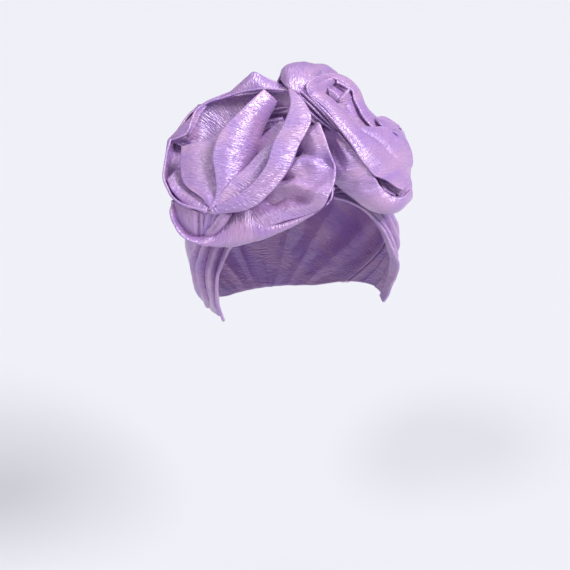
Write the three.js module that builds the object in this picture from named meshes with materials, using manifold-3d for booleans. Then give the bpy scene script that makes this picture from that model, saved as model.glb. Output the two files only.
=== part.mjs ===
import * as THREE from 'three';
import Module from 'manifold-3d';

const wasm = await Module();
wasm.setup();

// A turban hat of thin satin with two rolled rosettes, as it sits on a head.
// Millimetres, +Z up, the wearer faces -Y, and +X is the wearer's left.
// The origin is the inside of the crown where the top of the head bears.

// Sizes of the head form that the wrap is made for
const headBreadth = 152;
const headLength = 190;
const headRise = 110;       // from the widest level of the head up to its top

// The wrap
const clothWall = 2.2;
const lapWidth = 4;         // how far a band laps over the edge of the crown
const pieceGap = 0.4;       // air between neighbouring pieces
const pleatRise = 4.5;
const softFoldRise = 3;
const pleatsPerBand = 4;
const softFolds = 8;
const bandTurn = 38;        // degrees of the wrap that a band takes up
const napeDrop = 0.55;      // hem below the head's widest level at the nape, in head rises
const templeDrop = 0.27;    // the same at the lower front corner of a band
const foldEnds = 0.1;       // share of its rise that a pleat or fold keeps at the notch and the hem

// The rosettes
const petalWall = 1.8;
const leftRosetteRadius = 62;
const rightRosetteRadius = 56;
const leftRosetteSeat = [-0.447, -0.442, 0.836];    // on the head form, in shares of its half sizes
const rightRosetteSeat = [0.434, -0.347, 0.882];
const rosetteTurn = 30;     // degrees that each rosette faces out to its side
const leftRosetteTilt = 30; // degrees that it faces up
const rightRosetteTilt = 45;
const padLift = 14;         // height of the gathered pad that the folds grow out of
const padSpread = 0.56;     // radius of the pad, in rosette radii
const padGathers = 8;
const gatherDepth = 0.08;   // in pad radii

const degrees = Math.PI / 180;
const halfSizes = new THREE.Vector3(headBreadth / 2, headLength / 2, headRise);
const headCentre = new THREE.Vector3(0, 0, -headRise);

// All pleats fan out from a notch above the forehead. A point of the wrap is given by its reach,
// the angle away from the notch, and its turn, the angle around it with 0 at the middle of the crown.
const notchAxis = new THREE.Vector3(0, -0.68, 0.733).normalize();
const crownAxis = new THREE.Vector3(0, notchAxis.z, -notchAxis.y);
const sideAxis = new THREE.Vector3(1, 0, 0);
const notchReach = 0.1;     // radians left open right at the notch
const neckTaper = 0.24;     // how much a head rise of drop narrows the wrap below the brow
const taperStart = 0.82;    // in head rises below the origin

// Turn of the edge that frames the face, in degrees, for each side
const faceEdge = [
    // reach, left, right
    [0.10, 96, 98],
    [0.40, 100, 108],
    [0.75, 105, 120],
    [1.10, 117, 124],
    [1.50, 129, 129],
];

function lerp(a, b, t) {
    return a + (b - a) * t;
}

function clamp01(t) {
    return Math.min(1, Math.max(0, t));
}

function smoothStep(a, b, x) {
    const t = clamp01((x - a) / (b - a));
    return t * t * (3 - 2 * t);
}

function faceTurn(side, reach) {
    const column = side < 0 ? 1 : 2;
    let i = 0;
    while (i < faceEdge.length - 2 && faceEdge[i + 1][0] < reach) i++;
    const a = faceEdge[i];
    const b = faceEdge[i + 1];
    return lerp(a[column], b[column], clamp01((reach - a[0]) / (b[0] - a[0])));
}

// The hem is level at the nape and rises towards the temples, between these turns
const hemRiseFrom = 70;
const hemRiseTo = 128;

function hemReach(turn) {
    const rise = crownAxis.z * Math.cos(turn * degrees);
    const drop = lerp(napeDrop, templeDrop, smoothStep(hemRiseFrom, hemRiseTo, Math.abs(turn)));
    const length = Math.hypot(notchAxis.z, rise);
    return Math.atan2(rise, notchAxis.z) + Math.acos(-drop / length);
}

// Point at a height above the head form
function wrapPoint(reach, turn, height) {
    const around = crownAxis.clone().multiplyScalar(Math.cos(turn * degrees))
        .addScaledVector(sideAxis, Math.sin(turn * degrees));
    const way = notchAxis.clone().multiplyScalar(Math.cos(reach)).addScaledVector(around, Math.sin(reach));
    const sizes = halfSizes.clone().addScalar(height);
    const point = way.clone().divideScalar(way.clone().divide(sizes).length()).add(headCentre);
    const below = Math.max(0, -point.z / headRise - taperStart);
    const narrow = 1 - neckTaper * below;
    point.x *= narrow;
    point.y *= narrow;
    return point;
}

// Degrees of turn that a width takes up at a reach
function turnOf(width, reach) {
    return width / (headRise * Math.sin(reach)) / degrees;
}

const mostLap = 0.25;       // of a band's turn, where all lines crowd together at the notch

function lapTurn(reach) {
    return Math.min(turnOf(lapWidth, reach), mostLap * bandTurn);
}

// Reach of a point at a share of the way from the notch to the hem
function reachAt(share, turn) {
    return lerp(notchReach, hemReach(turn), share);
}

// Turn of a line there. Its own turn sets where its hem is, so it is found in a few rounds.
const settleRounds = 6;

function lineTurn(share, side, turnAt) {
    let turn = side * 90;
    for (let round = 0; round < settleRounds; round++) {
        turn = side * turnAt(reachAt(share, turn));
    }
    return turn;
}

// Closed solid from points and triangles, turned so that its faces point out
function solidOf(points, triangles) {
    let volume = 0;
    for (const [a, b, c] of triangles) {
        volume += points[a].dot(points[b].clone().cross(points[c]));
    }
    const outward = volume < 0 ? triangles.map(([a, b, c]) => [a, c, b]) : triangles;
    const vertProperties = new Float32Array(points.flatMap((p) => [p.x, p.y, p.z]));
    const triVerts = new Uint32Array(outward.flat());
    return new wasm.Manifold(new wasm.Mesh({ numProp: 3, vertProperties, triVerts }));
}

// Closed wall between two grids of points, both indexed [column][row]
function wallBetween(outer, inner) {
    const columns = outer.length;
    const rows = outer[0].length;
    const points = [...outer.flat(), ...inner.flat()];
    const at = (layer, i, j) => layer * columns * rows + i * rows + j;
    const triangles = [];
    const quad = (a, b, c, d) => triangles.push([a, b, c], [a, c, d]);
    for (let i = 0; i < columns - 1; i++) {
        for (let j = 0; j < rows - 1; j++) {
            quad(at(0, i, j), at(0, i + 1, j), at(0, i + 1, j + 1), at(0, i, j + 1));
            quad(at(1, i, j), at(1, i, j + 1), at(1, i + 1, j + 1), at(1, i + 1, j));
        }
    }
    for (let i = 0; i < columns - 1; i++) {
        quad(at(0, i, 0), at(1, i, 0), at(1, i + 1, 0), at(0, i + 1, 0));
        quad(at(0, i, rows - 1), at(0, i + 1, rows - 1), at(1, i + 1, rows - 1), at(1, i, rows - 1));
    }
    for (let j = 0; j < rows - 1; j++) {
        quad(at(0, 0, j), at(0, 0, j + 1), at(1, 0, j + 1), at(1, 0, j));
        quad(at(0, columns - 1, j), at(1, columns - 1, j), at(1, columns - 1, j + 1), at(0, columns - 1, j + 1));
    }
    return solidOf(points, triangles);
}

function geometryOf(solid) {
    const mesh = solid.getMesh();
    const geometry = new THREE.BufferGeometry();
    geometry.setAttribute('position', new THREE.BufferAttribute(new Float32Array(mesh.vertProperties), 3));
    geometry.setIndex(new THREE.BufferAttribute(new Uint32Array(mesh.triVerts), 1));
    geometry.computeVertexNormals();
    return geometry;
}

// The wrap, line by line. Each line of a piece runs from the notch to the hem and has a share of the
// piece's width, an outer and an inner height; the cloth lifts off the head under its pleats.
const wrapRows = 12;
const innerFollow = 0.6;    // share of a pleat's rise that its inner face follows

// Share of its rise that a pleat has on the way from the notch to the hem
function foldFade(share) {
    return lerp(foldEnds, 1, Math.sin(Math.PI * lerp(0.05, 0.95, share)) ** 0.8);
}

// One pleat across the band, from its valley up to its crest, after which it drops to the next valley
const pleatProfile = [
    // share of the pleat's width, share of its rise
    [0, 0.05],
    [0.45, 0.75],
    [0.82, 1],
];

function bandLines() {
    const lines = [];
    for (let pleat = 0; pleat < pleatsPerBand; pleat++) {
        for (const [share, rise] of pleatProfile) {
            lines.push({ share: (pleat + share) / pleatsPerBand, rise, lap: 0 });
        }
    }
    // The last two lines lap over the edge of the crown
    lines.push({ share: 1, over: true, lap: 0 });
    lines.push({ share: 1, over: true, lap: 1 });
    return lines;
}

function bandPoints(side, layer) {
    return bandLines().map((line) => {
        const column = [];
        for (let row = 0; row <= wrapRows; row++) {
            const share = row / wrapRows;
            const turn = lineTurn(share, side, (reach) => (
                faceTurn(side, reach) - line.share * bandTurn - line.lap * lapTurn(reach)
            ));
            const rise = line.over ? 0 : pleatRise * line.rise * foldFade(share);
            const inner = line.over ? clothWall + pieceGap : innerFollow * rise;
            const height = layer === 'inner' ? inner : rise + clothWall + (line.over ? inner : 0);
            column.push(wrapPoint(reachAt(share, turn), turn, height));
        }
        return column;
    });
}

const linesPerFold = 4;
const crownLines = softFolds * linesPerFold;

// Turn of the crown's edge: past the lap of a band, or under it
function crownEdge(side, share, laps) {
    return lineTurn(share, side, (reach) => (
        faceTurn(side, reach) - bandTurn - laps * lapTurn(reach) - turnOf(pieceGap, reach)
    ));
}

// One more line at each side carries the crown on under the lap
function crownPoints(layer) {
    const columns = [];
    for (let line = -1; line <= crownLines + 1; line++) {
        const across = clamp01(line / crownLines);
        const column = [];
        for (let row = 0; row <= wrapRows; row++) {
            const share = row / wrapRows;
            let turn = lerp(crownEdge(-1, share, 1), crownEdge(1, share, 1), across);
            if (line < 0) turn = crownEdge(-1, share, 0);
            if (line > crownLines) turn = crownEdge(1, share, 0);
            const wave = Math.sin(Math.PI * softFolds * across) ** 2;
            const rise = softFoldRise * wave * foldFade(share);
            const height = layer === 'outer' ? clothWall + rise : innerFollow * rise;
            column.push(wrapPoint(reachAt(share, turn), turn, height));
        }
        columns.push(column);
    }
    return columns;
}

// Everything inside the crests of the wrap, a gap larger, to trim what sits on it. Its lines are
// coarser than the pleats, and facetSag covers how far its flat facets cut inside the curve.
const blockLines = 40;
const facetSag = 0.35;

function crestHeight(turn, share, reach) {
    const side = turn < 0 ? -1 : 1;
    const inside = faceTurn(side, reach) - bandTurn - lapTurn(reach) - Math.abs(turn);
    const band = Math.max(clothWall + pleatRise * foldFade(share), 2 * clothWall + pieceGap);
    const crown = clothWall + softFoldRise * foldFade(share);
    return lerp(band, crown, smoothStep(0, 360 / blockLines, inside));
}

function headBlock() {
    const rows = wrapRows + 1;
    const points = [];
    const triangles = [];
    for (let line = 0; line < blockLines; line++) {
        const turn = -180 + (360 * line) / blockLines;
        for (let row = 0; row < rows; row++) {
            const share = row / wrapRows;
            const reach = reachAt(share, turn);
            points.push(wrapPoint(reach, turn, crestHeight(turn, share, reach) + pieceGap + facetSag));
        }
    }
    points.push(wrapPoint(0, 0, 2 * clothWall + 2 * pieceGap), headCentre.clone());
    const tip = points.length - 2;
    const base = points.length - 1;
    for (let i = 0; i < blockLines; i++) {
        const a = i * rows;
        const b = ((i + 1) % blockLines) * rows;
        triangles.push([tip, b, a], [base, a + rows - 1, b + rows - 1]);
        for (let j = 0; j < wrapRows; j++) {
            triangles.push([a + j, b + j, b + j + 1], [a + j, b + j + 1, a + j + 1]);
        }
    }
    return solidOf(points, triangles);
}

// A rosette's own frame: its seat on the head form, and its right, up and outward directions
function rosetteFrame(seat, turn, tilt, radius) {
    const origin = halfSizes.clone().multiply(new THREE.Vector3(...seat)).add(headCentre);
    const a = turn * degrees;
    const e = tilt * degrees;
    const out = new THREE.Vector3(Math.sin(a) * Math.cos(e), -Math.cos(a) * Math.cos(e), Math.sin(e));
    const right = new THREE.Vector3(Math.cos(a), Math.sin(a), 0);
    const up = out.clone().cross(right);
    const place = (x, y, z) => origin.clone().addScaledVector(right, x * radius)
        .addScaledVector(up, y * radius).addScaledVector(out, z * radius);
    return { origin, right, up, out, radius, place };
}

// Height of the head form over a rosette's base plane, as a share of the rosette's radius
function headHeight(frame, x, y) {
    const from = frame.place(x, y, 0).sub(headCentre).divide(halfSizes);
    const way = frame.out.clone().divide(halfSizes);
    const a = way.dot(way);
    const b = from.dot(way);
    const c = from.dot(from) - 1;
    return (-b + Math.sqrt(Math.max(0, b * b - a * c))) / a / frame.radius;
}

// The folds of the rosettes. A row is one section across a fold, in shares of the rosette's radius:
// the rim is its free edge and the root its tucked one, and bow is how far the middle stands off the
// straight line between them, to the side where the fold's run crossed with its width points.
// rimRight, rimUp, rimOut, rootRight, rootUp, rootOut, bow
const leftFolds = {
    left_cup: [
        [-0.26, -0.64, 0.66, -0.20, -0.36, -0.08, -0.05],
        [-0.69, -0.57, 0.61, -0.34, -0.34, -0.15, -0.13],
        [-0.90, -0.36, 0.53, -0.46, -0.14, -0.27, -0.16],
        [-0.95, -0.07, 0.47, -0.50, 0.04, -0.36, -0.16],
        [-0.95, 0.16, 0.40, -0.46, 0.20, -0.40, -0.15],
    ],
    back_cup: [
        [-0.97, 0.13, 0.39, -0.46, 0.14, -0.37, -0.13],
        [-0.76, 0.23, 0.42, -0.40, 0.28, -0.40, -0.15],
        [-0.67, 0.53, 0.39, -0.28, 0.40, -0.40, -0.15],
        [-0.33, 0.70, 0.40, -0.14, 0.48, -0.39, -0.13],
        [0.03, 0.79, 0.44, 0.02, 0.50, -0.36, -0.11],
        [0.33, 0.81, 0.39, 0.22, 0.46, -0.30, -0.08],
    ],
    back_layer: [
        [-0.99, 0.05, 0.32, -0.50, 0.06, -0.37, -0.15],
        [-0.87, 0.32, 0.34, -0.48, 0.24, -0.44, -0.16],
        [-0.71, 0.56, 0.32, -0.34, 0.42, -0.46, -0.16],
        [-0.33, 0.77, 0.31, -0.20, 0.54, -0.48, -0.13],
    ],
    top_corner: [
        [-0.41, 0.70, 0.29, -0.24, 0.50, -0.46, -0.08],
        [-0.18, 0.90, 0.37, -0.12, 0.56, -0.46, -0.10],
        [-0.08, 0.96, 0.40, -0.02, 0.58, -0.45, -0.10],
        [0.04, 0.92, 0.35, 0.10, 0.58, -0.42, -0.10],
        [0.31, 0.83, 0.27, 0.26, 0.52, -0.36, -0.06],
    ],
    inner_petal: [
        [-0.42, -0.50, 0.63, -0.30, -0.50, 0.61, 0.02],
        [-0.65, -0.36, 0.55, -0.28, -0.35, 0.45, 0.08],
        [-0.75, -0.17, 0.50, -0.30, -0.13, 0.35, 0.11],
        [-0.79, 0.07, 0.45, -0.39, 0.24, 0.23, 0.08],
    ],
    nested_fold_1: [
        [-0.90, -0.30, 0.47, -0.83, -0.13, 0.26, -0.05],
        [-0.80, -0.43, 0.52, -0.68, -0.30, 0.32, -0.06],
        [-0.63, -0.56, 0.56, -0.51, -0.45, 0.45, -0.06],
        [-0.35, -0.66, 0.65, -0.32, -0.57, 0.58, -0.03],
    ],
    nested_fold_2: [
        [-0.87, -0.25, 0.42, -0.80, -0.10, 0.23, -0.05],
        [-0.73, -0.41, 0.48, -0.64, -0.28, 0.32, -0.05],
        [-0.58, -0.52, 0.55, -0.47, -0.44, 0.45, -0.05],
        [-0.33, -0.63, 0.63, -0.31, -0.56, 0.58, -0.03],
    ],
    crescent: [
        [0.08, 0.75, 0.53, 0.20, 0.67, 0.39, -0.03],
        [-0.08, 0.49, 0.68, 0.08, 0.45, 0.29, -0.10],
        [-0.27, 0.21, 0.73, 0.00, 0.22, 0.19, -0.16],
        [-0.34, -0.03, 0.71, -0.04, -0.01, 0.19, -0.18],
        [-0.29, -0.24, 0.68, -0.07, -0.21, 0.32, -0.15],
        [-0.23, -0.49, 0.66, -0.20, -0.46, 0.58, -0.03],
    ],
    heart_back: [
        [-0.04, 0.56, 0.19, 0.02, 0.36, -0.25, -0.03],
        [0.18, 0.62, 0.24, 0.18, 0.36, -0.22, -0.05],
        [0.36, 0.66, 0.19, 0.32, 0.34, -0.21, -0.03],
    ],
    heart_fold: [
        [-0.02, 0.37, 0.19, 0.02, 0.29, 0.06, 0.03],
        [0.10, 0.47, 0.26, 0.16, 0.38, 0.10, 0.05],
        [0.26, 0.52, 0.26, 0.34, 0.45, 0.10, 0.03],
    ],
    heart_petal: [
        [-0.05, -0.02, 0.26, 0.10, -0.11, 0.32, 0.02],
        [-0.01, 0.14, 0.35, 0.27, 0.02, 0.39, 0.05],
        [0.13, 0.30, 0.40, 0.42, 0.18, 0.42, 0.05],
        [0.28, 0.45, 0.39, 0.48, 0.41, 0.32, 0.03],
    ],
    under_strip: [
        [0.29, 0.18, 0.60, 0.39, 0.08, 0.55, -0.02],
        [0.16, 0.06, 0.60, 0.37, -0.09, 0.55, -0.03],
        [0.02, -0.14, 0.63, 0.29, -0.26, 0.58, -0.03],
        [-0.14, -0.33, 0.66, 0.09, -0.43, 0.61, -0.03],
        [-0.27, -0.58, 0.66, -0.19, -0.60, 0.65, -0.02],
    ],
    diagonal_strip: [
        [0.34, 0.79, 0.47, 0.39, 0.77, 0.47, -0.02],
        [0.42, 0.59, 0.61, 0.52, 0.63, 0.53, -0.05],
        [0.41, 0.38, 0.69, 0.63, 0.40, 0.56, -0.10],
        [0.31, 0.11, 0.74, 0.56, 0.18, 0.58, -0.13],
        [0.28, -0.14, 0.76, 0.46, -0.13, 0.61, -0.11],
        [0.07, -0.38, 0.74, 0.26, -0.45, 0.61, -0.11],
        [-0.27, -0.61, 0.68, -0.28, -0.66, 0.63, -0.03],
    ],
    brow_petal: [
        [0.63, 0.40, 0.44, 0.45, 0.29, 0.23, 0.00],
        [0.76, 0.41, 0.50, 0.40, 0.22, 0.16, -0.05],
        [0.90, 0.07, 0.58, 0.31, 0.01, 0.15, -0.08],
        [0.97, -0.20, 0.58, 0.26, -0.11, 0.15, -0.11],
        [0.83, -0.47, 0.53, 0.13, -0.21, 0.15, -0.10],
        [0.48, -0.68, 0.48, -0.04, -0.29, 0.15, -0.06],
        [-0.01, -0.83, 0.42, -0.25, -0.33, 0.11, -0.03],
        [-0.53, -0.84, 0.35, -0.45, -0.31, 0.06, -0.03],
    ],
    brow_roll: [
        [0.97, -0.18, 0.58, 0.95, -0.20, 0.52, -0.02],
        [0.89, -0.40, 0.55, 0.50, -0.36, 0.03, -0.06],
        [0.53, -0.65, 0.48, 0.32, -0.54, 0.06, -0.16],
        [0.12, -0.80, 0.44, 0.02, -0.62, 0.01, -0.23],
        [-0.24, -0.87, 0.40, -0.24, -0.60, -0.09, -0.21],
        [-0.59, -0.83, 0.39, -0.42, -0.48, -0.19, -0.21],
        [-0.78, -0.65, 0.44, -0.50, -0.32, -0.27, -0.18],
        [-0.88, -0.43, 0.50, -0.52, -0.16, -0.31, -0.15],
    ],
};
const rightFolds = {
    crown_roll: [
        [-0.84, 0.94, 0.45, -0.64, 1.10, 0.36, -0.04],
        [-0.91, 0.77, 0.55, -0.55, 1.11, 0.43, -0.11],
        [-0.80, 0.64, 0.59, -0.40, 1.09, 0.45, -0.14],
        [-0.58, 0.70, 0.61, -0.22, 1.01, 0.45, -0.11],
        [-0.22, 0.82, 0.54, -0.01, 0.98, 0.43, -0.05],
        [0.05, 0.79, 0.46, 0.18, 0.88, 0.36, -0.02],
    ],
    crown_roll_back: [
        [-0.68, 1.08, 0.37, -0.62, 0.52, -0.29, -0.07],
        [-0.58, 1.09, 0.45, -0.46, 0.66, -0.34, -0.16],
        [-0.42, 1.08, 0.46, -0.28, 0.72, -0.37, -0.20],
        [-0.25, 0.99, 0.46, -0.08, 0.74, -0.40, -0.18],
        [-0.03, 0.96, 0.45, 0.06, 0.72, -0.42, -0.14],
        [0.17, 0.86, 0.37, 0.16, 0.66, -0.41, -0.11],
    ],
    lapped_edge_1: [
        [-0.83, 0.97, 0.43, -0.41, 0.96, 0.11, -0.02],
        [-0.86, 0.63, 0.52, -0.38, 0.68, 0.11, -0.02],
        [-0.81, 0.36, 0.55, -0.35, 0.40, 0.14, -0.02],
        [-0.65, 0.09, 0.54, -0.21, 0.12, 0.14, -0.02],
    ],
    lapped_edge_2: [
        [-0.86, 0.92, 0.50, -0.37, 0.92, 0.14, -0.02],
        [-0.84, 0.62, 0.59, -0.29, 0.66, 0.14, -0.02],
        [-0.77, 0.35, 0.63, -0.24, 0.37, 0.18, -0.02],
        [-0.65, 0.05, 0.59, -0.15, 0.08, 0.18, -0.02],
    ],
    turned_petal: [
        [-0.76, 0.63, 0.64, -0.62, 0.58, 0.54, 0.00],
        [-0.66, 0.71, 0.64, -0.44, 0.59, 0.50, -0.04],
        [-0.40, 0.75, 0.62, -0.20, 0.63, 0.43, -0.05],
        [-0.10, 0.76, 0.57, 0.07, 0.68, 0.36, -0.05],
        [0.20, 0.70, 0.46, 0.24, 0.66, 0.29, -0.04],
    ],
    small_cup: [
        [-0.12, 0.68, 0.55, -0.04, 0.70, 0.32, -0.04],
        [0.00, 0.54, 0.55, 0.12, 0.66, 0.25, -0.05],
        [-0.27, 0.43, 0.57, -0.08, 0.60, 0.32, -0.04],
    ],
    long_strip: [
        [-0.74, 0.64, 0.64, -0.52, 0.67, 0.57, -0.02],
        [-0.77, 0.50, 0.66, -0.43, 0.51, 0.57, -0.05],
        [-0.71, 0.20, 0.68, -0.28, 0.23, 0.54, -0.09],
        [-0.65, -0.14, 0.68, -0.12, 0.02, 0.50, -0.11],
        [-0.61, -0.42, 0.66, 0.31, -0.05, 0.39, -0.14],
        [-0.53, -0.62, 0.62, 0.62, -0.22, 0.29, -0.14],
        [-0.33, -0.76, 0.59, 0.73, -0.44, 0.21, -0.11],
        [-0.10, -0.92, 0.52, 0.50, -0.64, 0.21, -0.05],
    ],
    lower_petal: [
        [-0.48, 0.23, 0.32, -0.61, 0.04, 0.57, 0.00],
        [-0.52, -0.03, 0.18, -0.51, -0.20, 0.54, -0.04],
        [-0.63, -0.31, 0.11, -0.48, -0.47, 0.54, -0.07],
        [-0.62, -0.52, 0.11, -0.42, -0.64, 0.50, -0.11],
        [-0.52, -0.75, 0.12, -0.37, -0.79, 0.46, -0.14],
        [-0.39, -0.95, 0.14, -0.28, -0.92, 0.45, -0.14],
        [-0.11, -1.06, 0.14, -0.12, -0.99, 0.45, -0.11],
        [0.27, -1.02, 0.14, 0.21, -0.91, 0.36, -0.07],
    ],
    mid_fold: [
        [-0.29, 0.45, 0.48, 0.37, 0.57, 0.18, -0.04],
        [-0.34, 0.26, 0.55, 0.42, 0.47, 0.18, -0.05],
        [-0.30, 0.12, 0.57, 0.41, 0.33, 0.18, -0.05],
        [-0.23, 0.00, 0.57, 0.45, 0.18, 0.18, -0.04],
    ],
    top_ridge: [
        [0.06, 0.78, 0.48, 0.14, 0.62, -0.37, -0.07],
        [0.12, 0.56, 0.48, 0.24, 0.52, -0.35, -0.09],
        [0.08, 0.39, 0.48, 0.32, 0.40, -0.34, -0.11],
        [0.04, 0.22, 0.48, 0.38, 0.26, -0.32, -0.11],
        [0.12, 0.08, 0.45, 0.44, 0.14, -0.33, -0.07],
    ],
    side_ruffle: [
        [0.36, 0.15, 0.32, 0.44, 0.10, -0.32, -0.07],
        [0.52, 0.06, 0.36, 0.48, 0.00, -0.33, -0.09],
        [0.67, -0.10, 0.36, 0.50, -0.12, -0.33, -0.11],
        [0.66, -0.28, 0.32, 0.52, -0.24, -0.35, -0.11],
    ],
    back_cup: [
        [0.37, 0.94, 0.18, 0.10, 0.70, -0.41, -0.11],
        [0.57, 0.74, 0.14, 0.26, 0.58, -0.40, -0.14],
        [0.52, 0.37, 0.14, 0.42, 0.36, -0.39, -0.14],
        [0.86, -0.11, 0.14, 0.52, 0.06, -0.37, -0.14],
        [0.73, -0.47, 0.14, 0.54, -0.20, -0.36, -0.12],
        [0.44, -0.83, 0.11, 0.46, -0.46, -0.32, -0.11],
    ],
    seam_wall: [
        [-0.50, 0.93, 0.18, -0.19, 0.97, 0.11, -0.02],
        [-0.49, 0.59, 0.14, -0.14, 0.65, 0.11, -0.02],
        [-0.40, 0.34, 0.14, -0.04, 0.38, 0.11, -0.02],
        [-0.33, 0.05, 0.11, -0.03, 0.10, 0.11, -0.02],
    ],
    pocket_back: [
        [0.27, -0.54, 0.36, -0.34, -0.58, 0.21, 0.02],
        [0.34, -0.75, 0.32, -0.27, -0.81, 0.18, 0.04],
        [0.33, -0.94, 0.23, -0.02, -1.04, 0.12, 0.04],
    ],
};

// Value of a table's columns along a fold, on a smooth curve through the rows
function sectionAt(rows, t) {
    const spans = rows.length - 1;
    const i = Math.min(Math.floor(t * spans), spans - 1);
    const f = t * spans - i;
    return rows[0].map((_, k) => {
        const b = rows[i][k];
        const c = rows[i + 1][k];
        const a = i > 0 ? rows[i - 1][k] : 2 * b - c;
        const d = i + 2 <= spans ? rows[i + 2][k] : 2 * c - b;
        const bend = (2 * a - 5 * b + 4 * c - d) * f * f + (3 * b - a - 3 * c + d) * f * f * f;
        return 0.5 * (2 * b + (c - a) * f + bend);
    });
}

const mostSteps = 12;
const wideFold = 0.45;      // a fold wider than this share of the radius gets one more span

function foldGrid(rows, frame) {
    const grid = [];
    const steps = Math.min(mostSteps, 2 * (rows.length - 1));
    const widths = rows.map((row) => Math.hypot(row[0] - row[3], row[1] - row[4], row[2] - row[5]));
    const spans = Math.max(...widths) > wideFold ? 4 : 3;
    for (let i = 0; i <= steps; i++) {
        const t = i / steps;
        const here = sectionAt(rows, t);
        const before = sectionAt(rows, Math.max(0, t - 0.001));
        const after = sectionAt(rows, Math.min(1, t + 0.001));
        const rim = new THREE.Vector3(here[0], here[1], here[2]);
        const root = new THREE.Vector3(here[3], here[4], here[5]);
        const run = new THREE.Vector3(after[0] + after[3], after[1] + after[4], after[2] + after[5])
            .sub(new THREE.Vector3(before[0] + before[3], before[1] + before[4], before[2] + before[5]));
        const across = rim.clone().sub(root);
        const side = run.cross(across).normalize();
        const bow = here[6];
        const roundness = clamp01(2 * Math.abs(bow) / across.length());
        const column = [];
        for (let j = 0; j <= spans; j++) {
            const v = j / spans;
            const x = lerp(v, (1 - Math.cos(Math.PI * v)) / 2, roundness);
            const p = root.clone().addScaledVector(across, x).addScaledVector(side, bow * Math.sin(Math.PI * v));
            column.push(frame.place(p.x, p.y, p.z));
        }
        grid.push(column);
    }
    return grid;
}

// Unit normals of a grid of points, from the differences between neighbours
function gridNormals(grid) {
    const last = grid.length - 1;
    return grid.map((column, i) => column.map((_, j) => {
        const end = column.length - 1;
        const along = grid[Math.min(i + 1, last)][j].clone().sub(grid[Math.max(i - 1, 0)][j]);
        const across = column[Math.min(j + 1, end)].clone().sub(column[Math.max(j - 1, 0)]);
        return along.cross(across).normalize();
    }));
}

// A fold as a wall of cloth; grow adds to it on every side
function foldSolid(rows, frame, grow) {
    const grid = foldGrid(rows, frame);
    const normals = gridNormals(grid);
    if (grow > 0) {
        const last = grid.length - 1;
        const end = grid[0].length - 1;
        const push = (p, q) => p.addScaledVector(p.clone().sub(q).normalize(), grow);
        grid.forEach((column) => {
            push(column[0], column[1]);
            push(column[end], column[end - 1]);
        });
        for (let j = 0; j <= end; j++) {
            push(grid[0][j], grid[1][j]);
            push(grid[last][j], grid[last - 1][j]);
        }
    }
    const half = petalWall / 2 + grow;
    const outer = grid.map((column, i) => column.map((p, j) => p.clone().addScaledVector(normals[i][j], half)));
    const inner = grid.map((column, i) => column.map((p, j) => p.clone().addScaledVector(normals[i][j], -half)));
    return wallBetween(outer, inner);
}

// The gathered pad in the heart of a rosette: a low dome that lies on the wrap
const padRings = 3;
const padSides = 2 * padGathers;
const domeShare = 0.96;     // of the pad's radius, at which its dome would come down to the wrap

function padSolid(frame, grow) {
    const points = [];
    const lift = padLift / frame.radius;
    const below = (clothWall * 2) / frame.radius;
    const spread = padSpread + grow / frame.radius;
    for (const top of [1, 0]) {
        points.push(frame.place(0, 0, headHeight(frame, 0, 0) + (top ? lift + grow / frame.radius : -below)));
        for (let ring = 1; ring <= padRings; ring++) {
            for (let k = 0; k < padSides; k++) {
                const angle = (2 * Math.PI * k) / padSides;
                const gather = 1 + gatherDepth * Math.cos(padGathers * angle);
                const out = (ring / padRings) * spread * gather;
                const x = out * Math.cos(angle);
                const y = out * Math.sin(angle);
                const dome = Math.sqrt(1 - ((domeShare * ring) / padRings) ** 2);
                const height = top ? lift * dome + grow / frame.radius : -below * dome;
                points.push(frame.place(x, y, headHeight(frame, x, y) + height));
            }
        }
    }
    const layer = 1 + padRings * padSides;
    const at = (side, ring, k) => side * layer + 1 + (ring - 1) * padSides + (k % padSides);
    const triangles = [];
    for (let k = 0; k < padSides; k++) {
        triangles.push([0, at(0, 1, k), at(0, 1, k + 1)], [layer, at(1, 1, k + 1), at(1, 1, k)]);
        for (let ring = 1; ring < padRings; ring++) {
            const [a, b, c, d] = [at(0, ring, k), at(0, ring + 1, k), at(0, ring + 1, k + 1), at(0, ring, k + 1)];
            triangles.push([a, b, c], [a, c, d]);
            triangles.push([a + layer, c + layer, b + layer], [a + layer, d + layer, c + layer]);
        }
        const [a, b] = [at(0, padRings, k), at(0, padRings, k + 1)];
        triangles.push([a, a + layer, b + layer], [a, b + layer, b]);
    }
    return solidOf(points, triangles);
}

const finest = 0.05;        // detail smaller than this is smoothed away after trimming

function joined(solids) {
    return solids.reduce((sum, solid) => sum.add(solid));
}

// A trimmed rosette is its one connected body, without the closed pockets inside it
function mainBody(solid) {
    return solid.decompose().reduce((best, body) => (body.volume() > best.volume() ? body : best));
}

function rosetteSolid(folds, frame, cutters) {
    const cloth = joined([padSolid(frame, 0), ...Object.values(folds).map((rows) => foldSolid(rows, frame, 0))]);
    const trimmed = cutters.reduce((rest, cutter) => rest.subtract(cutter), cloth);
    return mainBody(trimmed.setTolerance(finest));
}

function grownRosette(folds, frame) {
    const grown = Object.values(folds).map((rows) => foldSolid(rows, frame, pieceGap));
    return joined([padSolid(frame, pieceGap), ...grown]);
}

const leftFrame = rosetteFrame(leftRosetteSeat, -rosetteTurn, leftRosetteTilt, leftRosetteRadius);
const rightFrame = rosetteFrame(rightRosetteSeat, rosetteTurn, rightRosetteTilt, rightRosetteRadius);
const block = headBlock();

const satin = { color: 0xb99bd2, roughness: 0.35, metalness: 0 };

function node(name, solid) {
    const mesh = new THREE.Mesh(geometryOf(solid), new THREE.MeshStandardMaterial(satin));
    mesh.name = name;
    return mesh;
}

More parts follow.
